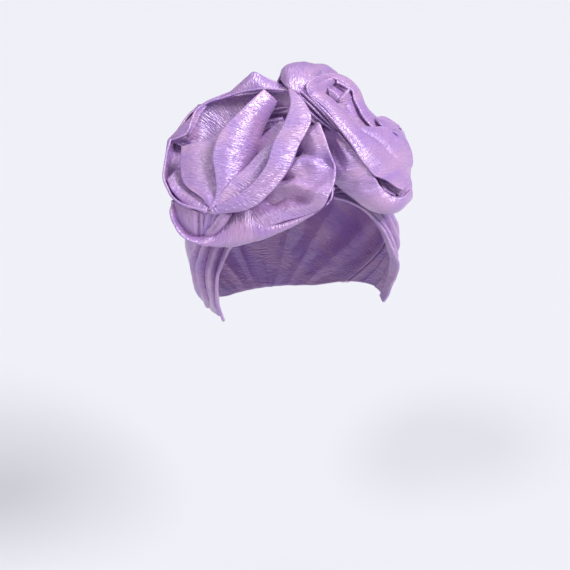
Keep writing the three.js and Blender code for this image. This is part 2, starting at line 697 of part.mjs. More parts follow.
const hat = new THREE.Group();
hat.add(node('crown', wallBetween(crownPoints('outer'), crownPoints('inner'))));
hat.add(node('left_band', wallBetween(bandPoints(-1, 'outer'), bandPoints(-1, 'inner'))));
hat.add(node('right_band', wallBetween(bandPoints(1, 'outer'), bandPoints(1, 'inner'))));
hat.add(node('left_rosette', rosetteSolid(leftFolds, leftFrame, [block])));
const neighbour = grownRosette(leftFolds, leftFrame);
hat.add(node('right_rosette', rosetteSolid(rightFolds, rightFrame, [block, neighbour])));

export default hat;
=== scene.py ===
"""A turban hat of crushed lilac satin: a pleated wrap, open at the face, with two rolled rosettes.

Metres, +Z up, the wearer faces -Y, and +X is the wearer's left. The origin is the inside of the crown
where the top of the head bears.
"""

import math

import bpy
import numpy as np
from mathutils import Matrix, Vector


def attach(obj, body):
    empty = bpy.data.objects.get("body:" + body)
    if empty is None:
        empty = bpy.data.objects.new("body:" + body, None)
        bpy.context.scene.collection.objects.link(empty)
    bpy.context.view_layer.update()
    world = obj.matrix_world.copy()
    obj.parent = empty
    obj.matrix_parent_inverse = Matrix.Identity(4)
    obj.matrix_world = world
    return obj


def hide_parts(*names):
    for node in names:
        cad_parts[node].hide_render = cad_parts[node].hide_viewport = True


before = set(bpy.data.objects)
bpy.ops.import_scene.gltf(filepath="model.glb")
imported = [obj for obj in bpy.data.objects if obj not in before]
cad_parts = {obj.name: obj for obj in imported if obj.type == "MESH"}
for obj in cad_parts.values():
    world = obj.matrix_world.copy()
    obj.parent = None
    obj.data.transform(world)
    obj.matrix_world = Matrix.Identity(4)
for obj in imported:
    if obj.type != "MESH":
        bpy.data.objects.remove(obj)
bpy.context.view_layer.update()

MM = 0.001
TINY = 1e-12                # least length to divide by

# The head form that the wrap is made for
HALF_SIZES = np.array([76, 95, 110]) * MM
HEAD_RISE = HALF_SIZES[2]
HEAD_CENTRE = np.array([0, 0, -HEAD_RISE])

# The wrap, in the same form as the solids. A point of it is given by its reach, the angle away from the
# notch above the forehead, and its turn, the angle around it with 0 at the middle of the crown.
NOTCH_AXIS = np.array([0, -0.68, 0.733]) / math.hypot(0.68, 0.733)
CROWN_AXIS = np.array([0, NOTCH_AXIS[2], -NOTCH_AXIS[1]])
SIDE_AXIS = np.array([1.0, 0, 0])
NOTCH_REACH = 0.1           # radians left open right at the notch
CLOTH_WALL = 2.2 * MM       # all the wrap's layers together
WRAP_HALF = 0.8 * MM        # half of the thickness of the sheet that shows
PIECE_GAP = 0.4 * MM        # air between neighbouring pieces
NAPE_DROP = 0.55            # hem below the head's widest level at the nape, in head rises
TEMPLE_DROP = 0.27          # the same at the lower front corner of a band
HEM_RISE_FROM = 70          # turns in degrees between which the hem rises from nape to temple
HEM_RISE_TO = 128
NECK_TAPER = 0.24           # share of its width that the wrap loses over a head rise below TAPER_START
TAPER_START = 0.82          # in head rises below the origin
START_TURN = 90.0           # first guess at a line's turn, in degrees, and the rounds that settle it
SETTLE_ROUNDS = 6

# Pleats and folds fade towards the notch and the hem. The fade is a half wave from FOLD_ENDS to the whole
# rise and back, with a share of it cut off at both ends.
FOLD_ENDS = 0.1
FADE_CUT = 0.05
FADE_POWER = 0.8

# Turn of the edge that frames the face, in degrees
FACE_EDGE = np.array([
    # reach, left, right
    (0.10, 96, 98),
    (0.40, 100, 108),
    (0.75, 105, 120),
    (1.10, 117, 124),
    (1.50, 129, 129),
])

# The bands
BAND_STEPS = (120, 160)     # of the cloth, from notch to hem and from face to crown
BAND_TURN = 38.0            # degrees of the wrap that a band takes up
LAP_WIDTH = 4 * MM          # how far a band laps over the edge of the crown
LAP_LIMIT = 0.25            # the most that it laps, in shares of its turn
LAP_FROM = 0.94             # share of the band's width where it starts to reach over the crown
LAP_LIFT = (0.95, 0.98)     # shares of the band's width between which it lifts over the crown
PLEAT_VALLEYS = np.array([0, 0.16, 0.50, 0.78, 1.0])   # from the face edge, in shares of the band
PLEAT_RISE = 6.5 * MM
PLEAT_LIP = 0.05            # width of a pleat's rounded edge, in shares of the band
PLEAT_LIP_POWER = 0.7
PLEAT_FALL_POWER = 1.3
LAST_PLEAT_END = 0.999      # share of the band that the sway doesn't carry the pleats past
CALM_EDGE = 0.15            # share of the band's width over which its sway starts
FACE_ROLL = 1.2 * MM        # rise of the rolled edge that frames the face
FACE_ROLL_TURN = 0.9        # its half width in degrees
HEM_HALF = 1.2 * MM         # half of the thickness at a band's rolled edges
HEM_REACH = 2 * MM          # how far in from these it thins to the rest

# The crown
CROWN_STEPS = (128, 360)
SOFT_FOLDS = 8
SOFT_FOLD_RISE = 3 * MM
SOFT_FOLD_POWER = 1.4
CROWN_EDGE = 0.03           # share of the crown's width over which its relief starts

# Unevenness of the wrap: strength, and the number of hills and dips along and across the piece. Sway
# moves the folds sideways, in shares of the piece, swell changes their rise, and crush is a fine relief.
BAND_RELIEF = {
    "sway": (0.025, 3, 3),
    "swell": (0.3, 5, 8),
    "crush": (0.35 * MM, 22, 5),
}
CROWN_RELIEF = {
    "sway": (0.012, 4, 10),
    "swell": (0.25, 3, 14),
    "crush": (0.5 * MM, 26, 30),
}

# The rosettes: seat on the head form in shares of its half sizes, turn and tilt in degrees, radius
LEFT_SEAT = ((-0.447, -0.442, 0.836), -30, 30, 62 * MM)
RIGHT_SEAT = ((0.434, -0.347, 0.882), 30, 45, 56 * MM)

# The gathered pad in a rosette
PAD_SIDES = 96
PAD_RINGS = 16
PAD_LIFT = 14 * MM          # height of its middle above the head form
PAD_SPREAD = 0.56           # its radius, in rosette radii
PAD_HOLE = 0.02             # radius of its first ring, in pad radii
PAD_DOME = 0.96             # its radius, in radii of the dome that it is cut from
PAD_GATHERS = 8
GATHER_DEPTH = 0.08         # how far they move its edge in and out, in pad radii
PAD_CREASES = 24
PAD_CREASE_RISE = 0.02      # in rosette radii

# The folds' cloth
STEP = 1.3 * MM             # between points of the cloth
RUN_STEPS = (16, 150)       # fewest and most along a fold
WIDTH_STEPS = (8, 60)       # fewest and most across it
MEASURING_STEPS = (40, 12)  # of the coarse grid that a fold is measured on
SATIN_HALF = 0.55 * MM      # half of the doubled satin's thickness
RIM_HALF = 0.9 * MM         # the same at its rolled edge, where the fold is wider than NARROW
NARROW = 6 * MM
RIM_REACH = 2.0 * MM        # how far in from the rim and root it thins to the rest
RIM_STEPS = 3               # points around a rounded edge
CREST_ROUND = 0.25          # how round the crest of a crease is, in shares of its half width
CREASE_ENDS = 0.25          # share of its length over which a crease rises at each end
SEEDS_PER_FOLD = 10         # random seeds set apart for each fold
LATTICE = 64                # random values each way behind the noise
SHEET_SPACING = 50 * MM     # between the cloth coordinates of two sheets, so that no two share a pattern

# Wrinkles of a fold, in mm: height, and length of a hill or dip along the fold and across it
WRINKLES = {
    "sway": (0.9, 34, 18),
    "crush": (0.35, 7, 20),
    "gathers": (0.9, 4.5, 60),
    "rim_wave": (0.6, 12, math.inf),
}
CALM_WIDTH = 5 * MM         # width of a fold that has no wrinkles yet
FULL_WIDTH = 35 * MM        # width from which it has all of them
GATHER_REACH = 0.2          # how far the gathers run out from the root, in shares of the width
RIM_WAVE_FROM = 0.6         # where the wave of the rim starts, in shares of the width

# How strongly a fold is wrinkled, where that isn't 1
WRINKLED = {
    "crown_roll": 0.4,
    "crown_roll_back": 0.4,
    "brow_roll": 0.7,
    "diagonal_strip": 0.6,
    "under_strip": 0.6,
    "crescent": 0.7,
    "lower_petal": 0.6,
    "brow_petal": 0.7,
    "left_floor": 0.3,
    "window_back": 0.2,
    "mid_fold": 0.3,
    "long_strip": 0.7,
}

# The satin
SATIN = {
    "Roughness": 0.33,
    "Metallic": 0.1,
    "IOR": 1.75,
    "Specular IOR Level": 1.0,
    "Sheen Weight": 0.3,
    "Sheen Roughness": 0.35,
    "Sheen Tint": (1, 0.9, 1, 1),
}
LILAC = (0.385, 0.205, 0.57)
MAUVE = (0.51, 0.285, 0.56)
THREAD_SHADE = (0.88, 0.86, 0.90)
THREAD_LIGHT = (1.0, 1.0, 1.0)
SLUBS = (1000, 190, 40)     # grains per metre along the cloth, across it and from sheet to sheet
CRUSH = (230, 70, 40)
PATCHES = (45, 30, 40)
SLUB_DEPTH = 1.0 * MM
CRUSH_DEPTH = 0.6 * MM

# Camera, floor and light
CAMERA_AZIMUTH = -16
CAMERA_ELEVATION = 25
CAMERA_TARGET = Vector((-0.0192, -0.0543, -0.1050))
CAMERA_DISTANCE = 0.80
CAMERA_LENS = 69.8
SENSOR_WIDTH = 36
FLOOR_HEIGHT = -0.45
FLOOR_HALF = 12
FLOOR_COLOUR = (0.60, 0.605, 0.635, 1)
FLOOR_ROUGHNESS = 0.9
ROOM_COLOUR = (0.92, 0.93, 1.0, 1)
ROOM_STRENGTH = 0.35
LIGHTS = [
    # name, azimuth and elevation in degrees, strength, spread in degrees
    ("key", 42, 44, 3.4, 26),
    ("fill", -50, 50, 0.75, 12),
    ("side", -85, 20, 0.12, 30),
    ("overhead", 170, 68, 0.6, 50),
]

# The rosettes' folds, each a strip of cloth laid through sections along its run. A section gives the
# x, y and z of the fold's rim, the x, y and z of its root, and how far it bows between them. A fold that
# rolls over gives the x, y and z of its rim, its crest and its root instead. All are shares of the
# rosette's radius, x to the right as seen from outside, y up and z outward.
LEFT_FOLDS = {
    "left_cup": [
        (-0.26, -0.64, 0.66, -0.20, -0.36, -0.08, -0.05),
        (-0.69, -0.57, 0.61, -0.34, -0.34, -0.15, -0.13),
        (-0.90, -0.36, 0.53, -0.46, -0.14, -0.27, -0.16),
        (-0.95, -0.07, 0.47, -0.50, 0.04, -0.36, -0.16),
        (-0.95, 0.16, 0.40, -0.46, 0.20, -0.40, -0.15),
    ],
    "back_cup": [
        (-0.97, 0.13, 0.39, -0.46, 0.14, -0.37, -0.13),
        (-0.76, 0.23, 0.42, -0.40, 0.28, -0.40, -0.15),
        (-0.67, 0.53, 0.39, -0.28, 0.40, -0.40, -0.15),
        (-0.33, 0.70, 0.40, -0.14, 0.48, -0.39, -0.13),
        (0.03, 0.79, 0.44, 0.02, 0.50, -0.36, -0.11),
        (0.33, 0.81, 0.39, 0.22, 0.46, -0.30, -0.08),
    ],
    "back_layer": [
        (-0.99, 0.05, 0.32, -0.50, 0.06, -0.37, -0.15),
        (-0.87, 0.32, 0.34, -0.48, 0.24, -0.44, -0.16),
        (-0.71, 0.56, 0.32, -0.34, 0.42, -0.46, -0.16),
        (-0.33, 0.77, 0.31, -0.20, 0.54, -0.48, -0.13),
    ],
    "top_corner": [
        (-0.41, 0.70, 0.29, -0.24, 0.50, -0.46, -0.08),
        (-0.18, 0.90, 0.37, -0.12, 0.56, -0.46, -0.10),
        (-0.08, 0.96, 0.40, -0.02, 0.58, -0.45, -0.10),
        (0.04, 0.92, 0.35, 0.10, 0.58, -0.42, -0.10),
        (0.31, 0.83, 0.27, 0.26, 0.52, -0.36, -0.06),
    ],
    "inner_petal": [
        (-0.33, -0.59, 0.65, -0.29, -0.59, 0.65, 0.01),
        (-0.42, -0.50, 0.63, -0.27, -0.51, 0.63, 0.02),
        (-0.65, -0.36, 0.56, -0.25, -0.36, 0.56, 0.03),
        (-0.74, -0.17, 0.52, -0.26, -0.15, 0.50, 0.05),
        (-0.78, 0.07, 0.47, -0.33, 0.21, 0.40, 0.03),
    ],
    "nested_fold_1": [
        (-0.90, -0.30, 0.47, -0.83, -0.13, 0.26, -0.05),
        (-0.80, -0.43, 0.52, -0.68, -0.30, 0.32, -0.06),
        (-0.63, -0.56, 0.56, -0.51, -0.45, 0.45, -0.06),
        (-0.35, -0.66, 0.65, -0.32, -0.57, 0.58, -0.03),
    ],
    "nested_fold_2": [
        (-0.87, -0.25, 0.42, -0.80, -0.10, 0.23, -0.05),
        (-0.73, -0.41, 0.48, -0.64, -0.28, 0.32, -0.05),
        (-0.58, -0.52, 0.55, -0.47, -0.44, 0.45, -0.05),
        (-0.33, -0.63, 0.63, -0.31, -0.56, 0.58, -0.03),
    ],
    "crescent": [
        (0.07, 0.76, 0.48, 0.20, 0.67, 0.39, -0.02),
        (-0.10, 0.50, 0.61, 0.11, 0.43, 0.39, -0.05),
        (-0.28, 0.22, 0.68, 0.05, 0.18, 0.40, -0.08),
        (-0.34, -0.03, 0.69, 0.02, -0.05, 0.44, -0.08),
        (-0.29, -0.24, 0.68, -0.02, -0.24, 0.50, -0.06),
        (-0.26, -0.45, 0.66, -0.13, -0.46, 0.60, -0.03),
        (-0.33, -0.63, 0.66, -0.27, -0.64, 0.65, -0.02),
    ],
    "heart_back": [
        (-0.04, 0.56, 0.19, 0.02, 0.36, -0.25, -0.03),
        (0.18, 0.62, 0.24, 0.18, 0.36, -0.22, -0.05),
        (0.36, 0.66, 0.19, 0.32, 0.34, -0.21, -0.03),
    ],
    "heart_fold": [
        (-0.02, 0.37, 0.19, 0.02, 0.29, 0.06, 0.03),
        (0.10, 0.47, 0.26, 0.16, 0.38, 0.10, 0.05),
        (0.26, 0.52, 0.26, 0.34, 0.45, 0.10, 0.03),
    ],
    "heart_petal": [
        (-0.05, -0.02, 0.26, 0.10, -0.11, 0.32, 0.02),
        (-0.01, 0.14, 0.35, 0.27, 0.02, 0.39, 0.05),
        (0.13, 0.30, 0.40, 0.42, 0.18, 0.42, 0.05),
        (0.28, 0.45, 0.39, 0.48, 0.41, 0.32, 0.03),
    ],
    "under_strip": [
        (0.29, 0.18, 0.60, 0.39, 0.08, 0.55, -0.02),
        (0.16, 0.06, 0.60, 0.37, -0.09, 0.55, -0.03),
        (0.02, -0.14, 0.63, 0.29, -0.26, 0.58, -0.03),
        (-0.14, -0.33, 0.66, 0.09, -0.43, 0.61, -0.03),
        (-0.27, -0.58, 0.66, -0.19, -0.60, 0.65, -0.02),
    ],
    "diagonal_strip": [
        (0.34, 0.79, 0.47, 0.39, 0.77, 0.47, -0.01),
        (0.42, 0.59, 0.61, 0.54, 0.63, 0.56, -0.01),
        (0.40, 0.38, 0.69, 0.65, 0.43, 0.63, -0.02),
        (0.32, 0.13, 0.74, 0.56, 0.15, 0.66, -0.02),
        (0.28, -0.11, 0.76, 0.49, -0.11, 0.68, -0.03),
        (0.12, -0.35, 0.74, 0.32, -0.38, 0.68, -0.03),
        (-0.09, -0.52, 0.73, 0.10, -0.57, 0.66, -0.02),
        (-0.30, -0.63, 0.68, -0.28, -0.66, 0.65, -0.02),
    ],
    "brow_petal": [
        (0.63, 0.40, 0.45, 0.49, 0.26, 0.37, 0.00),
        (0.76, 0.41, 0.50, 0.46, 0.17, 0.39, -0.02),
        (0.89, 0.08, 0.56, 0.38, -0.05, 0.44, -0.03),
        (0.97, -0.17, 0.56, 0.33, -0.16, 0.45, -0.03),
        (0.89, -0.44, 0.52, 0.26, -0.28, 0.45, -0.02),
        (0.68, -0.56, 0.48, 0.18, -0.38, 0.44, 0.02),
        (0.46, -0.64, 0.47, 0.07, -0.42, 0.42, 0.03),
        (0.28, -0.72, 0.45, 0.00, -0.44, 0.40, 0.04),
        (0.14, -0.80, 0.43, -0.07, -0.48, 0.39, 0.03),
        (0.03, -0.78, 0.40, -0.11, -0.52, 0.38, 0.02),
        (-0.09, -0.75, 0.35, -0.18, -0.55, 0.35, 0.00),
    ],
    "back_petal": [
        (-0.97, 0.15, 0.35, -0.62, 0.00, 0.27, -0.03),
        (-0.77, 0.23, 0.37, -0.48, 0.08, 0.24, -0.06),
        (-0.68, 0.54, 0.34, -0.32, 0.28, 0.23, -0.06),
        (-0.34, 0.71, 0.35, -0.12, 0.50, 0.23, -0.06),
        (0.02, 0.80, 0.38, 0.02, 0.67, 0.24, -0.03),
    ],
    "back_flap": [
        (-0.99, 0.17, 0.33, -0.75, 0.22, 0.39, 0.02),
        (-0.87, 0.30, 0.35, -0.69, 0.32, 0.40, 0.02),
        (-0.74, 0.45, 0.35, -0.65, 0.46, 0.40, 0.02),
        (-0.70, 0.58, 0.32, -0.59, 0.56, 0.39, 0.02),
    ],
    "corner_flap": [
        (-0.40, 0.70, 0.31, -0.31, 0.69, 0.39, 0.00),
        (-0.18, 0.89, 0.39, -0.16, 0.72, 0.40, 0.02),
        (-0.08, 0.96, 0.42, -0.06, 0.74, 0.40, 0.02),
        (0.06, 0.90, 0.37, 0.06, 0.77, 0.41, 0.02),
        (0.30, 0.84, 0.29, 0.27, 0.78, 0.39, 0.00),
    ],
    "heart_loop_1": [
        (-0.01, 0.42, 0.23, 0.00, 0.39, 0.10, 0.02),
        (0.08, 0.46, 0.27, 0.10, 0.43, 0.13, 0.02),
        (0.17, 0.48, 0.27, 0.17, 0.45, 0.13, 0.02),
    ],
    "heart_loop_2": [
        (0.03, 0.36, 0.23, 0.04, 0.33, 0.10, 0.02),
        (0.14, 0.41, 0.27, 0.17, 0.38, 0.13, 0.02),
        (0.29, 0.43, 0.27, 0.28, 0.39, 0.13, 0.02),
    ],
    "left_floor": [
        (-1.03, 0.18, 0.23, -0.77, 0.19, 0.19, 0.02),
        (-1.02, 0.04, 0.26, -0.79, 0.04, 0.21, 0.02),
        (-0.99, -0.13, 0.31, -0.79, -0.12, 0.24, 0.02),
        (-0.93, -0.28, 0.35, -0.77, -0.29, 0.29, 0.02),
        (-0.83, -0.40, 0.40, -0.69, -0.40, 0.34, 0.02),
    ],
    "heart_wall": [
        (0.02, 0.78, 0.35, 0.03, 0.57, 0.23, -0.02),
        (0.19, 0.83, 0.35, 0.18, 0.59, 0.18, -0.02),
        (0.36, 0.81, 0.35, 0.37, 0.60, 0.23, -0.02),
    ],
    "pocket_left": [
        (-0.77, -0.56, 0.50, -0.74, -0.74, 0.40, 0.02),
        (-0.64, -0.60, 0.55, -0.62, -0.85, 0.35, 0.05),
        (-0.52, -0.64, 0.58, -0.53, -0.90, 0.34, 0.06),
        (-0.44, -0.66, 0.60, -0.49, -0.91, 0.31, 0.05),
        (-0.37, -0.67, 0.60, -0.44, -0.90, 0.29, 0.02),
    ],
    "pocket_tube": [
        (-0.40, -0.66, 0.60, -0.48, -0.91, 0.31, 0.00),
        (-0.34, -0.65, 0.61, -0.43, -0.90, 0.32, 0.02),
        (-0.29, -0.65, 0.62, -0.38, -0.89, 0.34, 0.03),
        (-0.22, -0.64, 0.61, -0.34, -0.87, 0.34, 0.02),
        (-0.14, -0.63, 0.58, -0.29, -0.86, 0.32, 0.02),
    ],
    "pocket_slant": [
        (-0.19, -0.63, 0.64, -0.10, -0.63, 0.58, -0.02),
        (-0.25, -0.71, 0.60, -0.16, -0.72, 0.52, -0.04),
        (-0.33, -0.79, 0.51, -0.26, -0.82, 0.44, -0.04),
        (-0.42, -0.85, 0.42, -0.37, -0.90, 0.34, -0.02),
    ],
    "brow_roll": [
        (0.97, -0.26, 0.48, 0.96, -0.23, 0.53, 0.93, -0.19, 0.52),
        (0.52, -0.34, 0.02, 0.91, -0.40, 0.48, 0.85, -0.39, 0.45),
        (0.36, -0.52, 0.06, 0.66, -0.61, 0.43, 0.65, -0.52, 0.44),
        (0.16, -0.60, 0.04, 0.41, -0.76, 0.40, 0.42, -0.62, 0.43),
        (0.04, -0.62, 0.02, 0.23, -0.85, 0.38, 0.22, -0.61, 0.44),
        (-0.08, -0.62, -0.02, 0.05, -0.91, 0.37, 0.03, -0.56, 0.47),
        (-0.18, -0.61, -0.06, -0.12, -0.96, 0.35, -0.10, -0.61, 0.48),
        (-0.30, -0.57, -0.12, -0.27, -0.97, 0.35, -0.22, -0.78, 0.44),
        (-0.40, -0.50, -0.18, -0.43, -0.95, 0.37, -0.40, -0.87, 0.40),
        (-0.47, -0.41, -0.23, -0.60, -0.89, 0.39, -0.59, -0.84, 0.40),
        (-0.50, -0.32, -0.27, -0.71, -0.78, 0.42, -0.69, -0.73, 0.42),
        (-0.52, -0.20, -0.30, -0.77, -0.64, 0.44, -0.73, -0.62, 0.45),
        (-0.52, -0.10, -0.33, -0.78, -0.49, 0.42, -0.72, -0.52, 0.45),
    ],
}
RIGHT_FOLDS = {
    "crown_roll": [
        (-0.84, 0.94, 0.45, -0.64, 1.10, 0.36, -0.04),
        (-0.91, 0.77, 0.55, -0.55, 1.11, 0.43, -0.11),
        (-0.80, 0.64, 0.59, -0.40, 1.09, 0.45, -0.14),
        (-0.58, 0.70, 0.61, -0.22, 1.01, 0.45, -0.11),
        (-0.22, 0.82, 0.54, -0.01, 0.98, 0.43, -0.05),
        (0.05, 0.79, 0.46, 0.18, 0.88, 0.36, -0.02),
    ],
    "crown_roll_back": [
        (-0.68, 1.08, 0.37, -0.62, 0.52, -0.29, -0.07),
        (-0.58, 1.09, 0.45, -0.46, 0.66, -0.34, -0.16),
        (-0.42, 1.08, 0.46, -0.28, 0.72, -0.37, -0.20),
        (-0.25, 0.99, 0.46, -0.08, 0.74, -0.40, -0.18),
        (-0.03, 0.96, 0.45, 0.06, 0.72, -0.42, -0.14),
        (0.17, 0.86, 0.37, 0.16, 0.66, -0.41, -0.11),
    ],
    "lapped_edge_1": [
        (-0.84, 0.96, 0.45, -0.65, 0.95, 0.36, -0.02),
        (-0.85, 0.65, 0.52, -0.66, 0.65, 0.45, -0.02),
        (-0.81, 0.37, 0.55, -0.60, 0.37, 0.48, -0.02),
        (-0.63, 0.08, 0.54, -0.48, 0.08, 0.48, -0.02),
    ],
    "lapped_edge_2": [
        (-0.84, 0.91, 0.50, -0.64, 0.89, 0.41, -0.02),
        (-0.83, 0.61, 0.57, -0.63, 0.62, 0.50, -0.02),
        (-0.78, 0.35, 0.61, -0.57, 0.36, 0.54, -0.02),
        (-0.62, 0.04, 0.57, -0.47, 0.04, 0.52, -0.02),
    ],
    "turned_petal": [
        (-0.80, 0.58, 0.66, -0.73, 0.52, 0.64, 0.00),
        (-0.76, 0.68, 0.68, -0.58, 0.51, 0.61, 0.02),
        (-0.63, 0.73, 0.68, -0.40, 0.59, 0.58, 0.02),
        (-0.41, 0.77, 0.64, -0.24, 0.65, 0.57, 0.02),
        (-0.20, 0.77, 0.61, -0.10, 0.69, 0.56, 0.02),
        (-0.03, 0.74, 0.57, 0.03, 0.69, 0.54, 0.01),
    ],
    "long_strip": [
        (-0.76, 0.61, 0.64, -0.59, 0.62, 0.62, -0.02),
        (-0.78, 0.49, 0.66, -0.50, 0.48, 0.64, -0.03),
        (-0.71, 0.20, 0.68, -0.41, 0.18, 0.66, -0.04),
        (-0.65, -0.14, 0.68, -0.30, -0.01, 0.66, -0.06),
        (-0.61, -0.42, 0.66, 0.05, -0.13, 0.62, -0.07),
        (-0.56, -0.53, 0.64, 0.31, -0.25, 0.55, -0.06),
        (-0.52, -0.63, 0.62, 0.50, -0.42, 0.46, -0.05),
        (-0.43, -0.70, 0.61, 0.48, -0.57, 0.39, -0.04),
        (-0.33, -0.76, 0.59, 0.42, -0.65, 0.34, -0.05),
        (-0.21, -0.85, 0.55, 0.38, -0.75, 0.30, -0.05),
        (-0.10, -0.92, 0.52, 0.33, -0.78, 0.29, -0.05),
    ],
    "lower_petal": [
        (-0.60, 0.19, 0.43, -0.69, 0.01, 0.64, 0.00),
        (-0.70, -0.06, 0.36, -0.62, -0.23, 0.63, -0.02),
        (-0.79, -0.33, 0.29, -0.57, -0.49, 0.62, -0.04),
        (-0.70, -0.50, 0.21, -0.50, -0.66, 0.57, -0.07),
        (-0.54, -0.72, 0.18, -0.41, -0.80, 0.50, -0.11),
        (-0.39, -0.90, 0.16, -0.28, -0.92, 0.45, -0.11),
        (-0.14, -1.01, 0.16, -0.12, -0.99, 0.45, -0.09),
        (0.22, -1.00, 0.16, 0.21, -0.91, 0.36, -0.05),
    ],
    "mid_fold": [
        (-0.31, 0.45, 0.50, 0.08, 0.52, 0.52, -0.01),
        (-0.35, 0.29, 0.49, 0.01, 0.35, 0.50, -0.01),
        (-0.28, 0.15, 0.48, -0.01, 0.19, 0.49, -0.01),
        (-0.17, 0.00, 0.48, 0.14, 0.10, 0.48, -0.01),
        (-0.01, -0.18, 0.48, 0.37, 0.07, 0.48, -0.01),
        (0.20, -0.35, 0.45, 0.56, -0.10, 0.45, -0.01),
    ],
    "top_ridge": [
        (0.06, 0.78, 0.48, 0.14, 0.62, -0.37, -0.07),
        (0.12, 0.56, 0.48, 0.24, 0.52, -0.35, -0.09),
        (0.08, 0.39, 0.48, 0.32, 0.40, -0.34, -0.11),
        (0.04, 0.22, 0.48, 0.38, 0.26, -0.32, -0.11),
        (0.12, 0.08, 0.45, 0.44, 0.14, -0.33, -0.07),
    ],
    "side_ruffle": [
        (0.36, 0.15, 0.32, 0.44, 0.10, -0.32, -0.07),
        (0.52, 0.06, 0.36, 0.48, 0.00, -0.33, -0.09),
        (0.67, -0.10, 0.36, 0.50, -0.12, -0.33, -0.11),
        (0.66, -0.28, 0.32, 0.52, -0.24, -0.35, -0.11),
    ],
    "back_cup": [
        (0.37, 0.94, 0.18, 0.10, 0.70, -0.41, -0.11),
        (0.57, 0.74, 0.14, 0.26, 0.58, -0.40, -0.14),
        (0.52, 0.37, 0.14, 0.42, 0.36, -0.39, -0.14),
        (0.86, -0.11, 0.14, 0.52, 0.06, -0.37, -0.14),
        (0.73, -0.47, 0.14, 0.54, -0.20, -0.36, -0.12),
        (0.44, -0.83, 0.11, 0.46, -0.46, -0.32, -0.11),
    ],
    "seam_wall": [
        (-0.50, 0.93, 0.18, -0.19, 0.97, 0.11, -0.02),
        (-0.49, 0.59, 0.14, -0.14, 0.65, 0.11, -0.02),
        (-0.40, 0.34, 0.14, -0.04, 0.38, 0.11, -0.02),
        (-0.33, 0.05, 0.11, -0.03, 0.10, 0.11, -0.02),
    ],
    "pocket_back": [
        (0.12, -0.57, 0.48, -0.54, -0.63, 0.39, 0.02),
        (0.20, -0.78, 0.45, -0.43, -0.85, 0.32, 0.04),
        (0.23, -0.96, 0.32, -0.10, -1.06, 0.20, 0.04),
    ],
    "lapped_edge_3": [
        (-0.82, 0.85, 0.54, -0.64, 0.81, 0.46, -0.02),
        (-0.81, 0.58, 0.62, -0.63, 0.58, 0.55, -0.02),
        (-0.75, 0.32, 0.66, -0.56, 0.32, 0.59, -0.02),
        (-0.63, 0.00, 0.62, -0.49, -0.02, 0.57, -0.02),
    ],
    "lapped_edge_4": [
        (-0.79, 0.77, 0.57, -0.58, 0.73, 0.50, -0.02),
        (-0.78, 0.55, 0.66, -0.60, 0.54, 0.59, -0.02),
        (-0.71, 0.30, 0.70, -0.49, 0.28, 0.61, -0.02),
        (-0.64, -0.05, 0.68, -0.46, -0.08, 0.61, -0.02),
    ],
    "window_back": [
        (-0.24, 0.72, 0.54, -0.42, 0.46, 0.54, 0.00),
        (0.00, 0.73, 0.53, -0.22, 0.42, 0.53, 0.00),
        (0.13, 0.61, 0.52, -0.01, 0.43, 0.52, 0.00),
    ],
    "ruffle_1": [
        (0.14, 0.06, 0.54, 0.25, 0.07, 0.48, -0.01),
        (0.09, -0.04, 0.61, 0.35, -0.03, 0.50, -0.02),
        (0.13, -0.14, 0.63, 0.46, -0.12, 0.48, -0.02),
        (0.25, -0.23, 0.61, 0.53, -0.21, 0.46, -0.02),
        (0.33, -0.34, 0.55, 0.56, -0.29, 0.43, -0.02),
        (0.38, -0.41, 0.52, 0.58, -0.37, 0.39, 0.00),
    ],
    "ruffle_2": [
        (0.15, 0.03, 0.54, 0.15, -0.02, 0.52, 0.01),
        (0.22, -0.04, 0.57, 0.16, -0.08, 0.55, 0.01),
        (0.24, -0.11, 0.57, 0.18, -0.14, 0.55, 0.01),
    ],
    "pocket_fold_1": [
        (-0.31, -0.65, 0.46, -0.20, -0.73, 0.39, -0.02),
        (-0.32, -0.81, 0.45, -0.16, -0.83, 0.36, -0.02),
        (-0.18, -0.92, 0.41, -0.02, -0.90, 0.32, -0.02),
    ],
    "pocket_fold_2": [
        (-0.21, -0.73, 0.45, -0.08, -0.78, 0.36, -0.02),
        (-0.18, -0.83, 0.43, -0.02, -0.85, 0.34, -0.02),
        (-0.07, -0.93, 0.39, 0.10, -0.89, 0.30, -0.02),
    ],
    "pocket_fold_3": [
        (-0.08, -0.77, 0.41, 0.05, -0.83, 0.32, -0.02),
        (-0.01, -0.87, 0.39, 0.15, -0.88, 0.30, -0.02),
        (0.11, -0.93, 0.34, 0.25, -0.90, 0.27, -0.02),
    ],
    "window_edge": [
        (-0.17, 0.67, 0.61, -0.19, 0.65, 0.60, 0.00),
        (-0.12, 0.60, 0.62, -0.14, 0.59, 0.61, 0.01),
        (-0.06, 0.53, 0.62, -0.08, 0.53, 0.60, 0.01),
        (-0.05, 0.51, 0.62, -0.07, 0.52, 0.60, 0.01),
        (-0.19, 0.45, 0.62, -0.18, 0.48, 0.60, 0.01),
        (-0.35, 0.40, 0.62, -0.32, 0.43, 0.61, 0.00),
    ],
    "window_line": [
        (-0.37, 0.62, 0.59, -0.38, 0.52, 0.56, 0.01),
        (-0.34, 0.54, 0.61, -0.34, 0.46, 0.56, 0.01),
        (-0.26, 0.46, 0.59, -0.29, 0.41, 0.56, 0.01),
    ],
    "outer_band": [
        (-0.20, 0.79, 0.59, -0.24, 0.74, 0.61, 0.00),
        (-0.06, 0.75, 0.58, -0.14, 0.67, 0.61, 0.02),
        (0.06, 0.70, 0.55, -0.08, 0.61, 0.61, 0.03),
        (0.16, 0.63, 0.52, 0.00, 0.54, 0.58, 0.03),
        (0.23, 0.54, 0.48, 0.02, 0.49, 0.57, 0.03),
        (0.24, 0.43, 0.46, 0.00, 0.40, 0.55, 0.03),
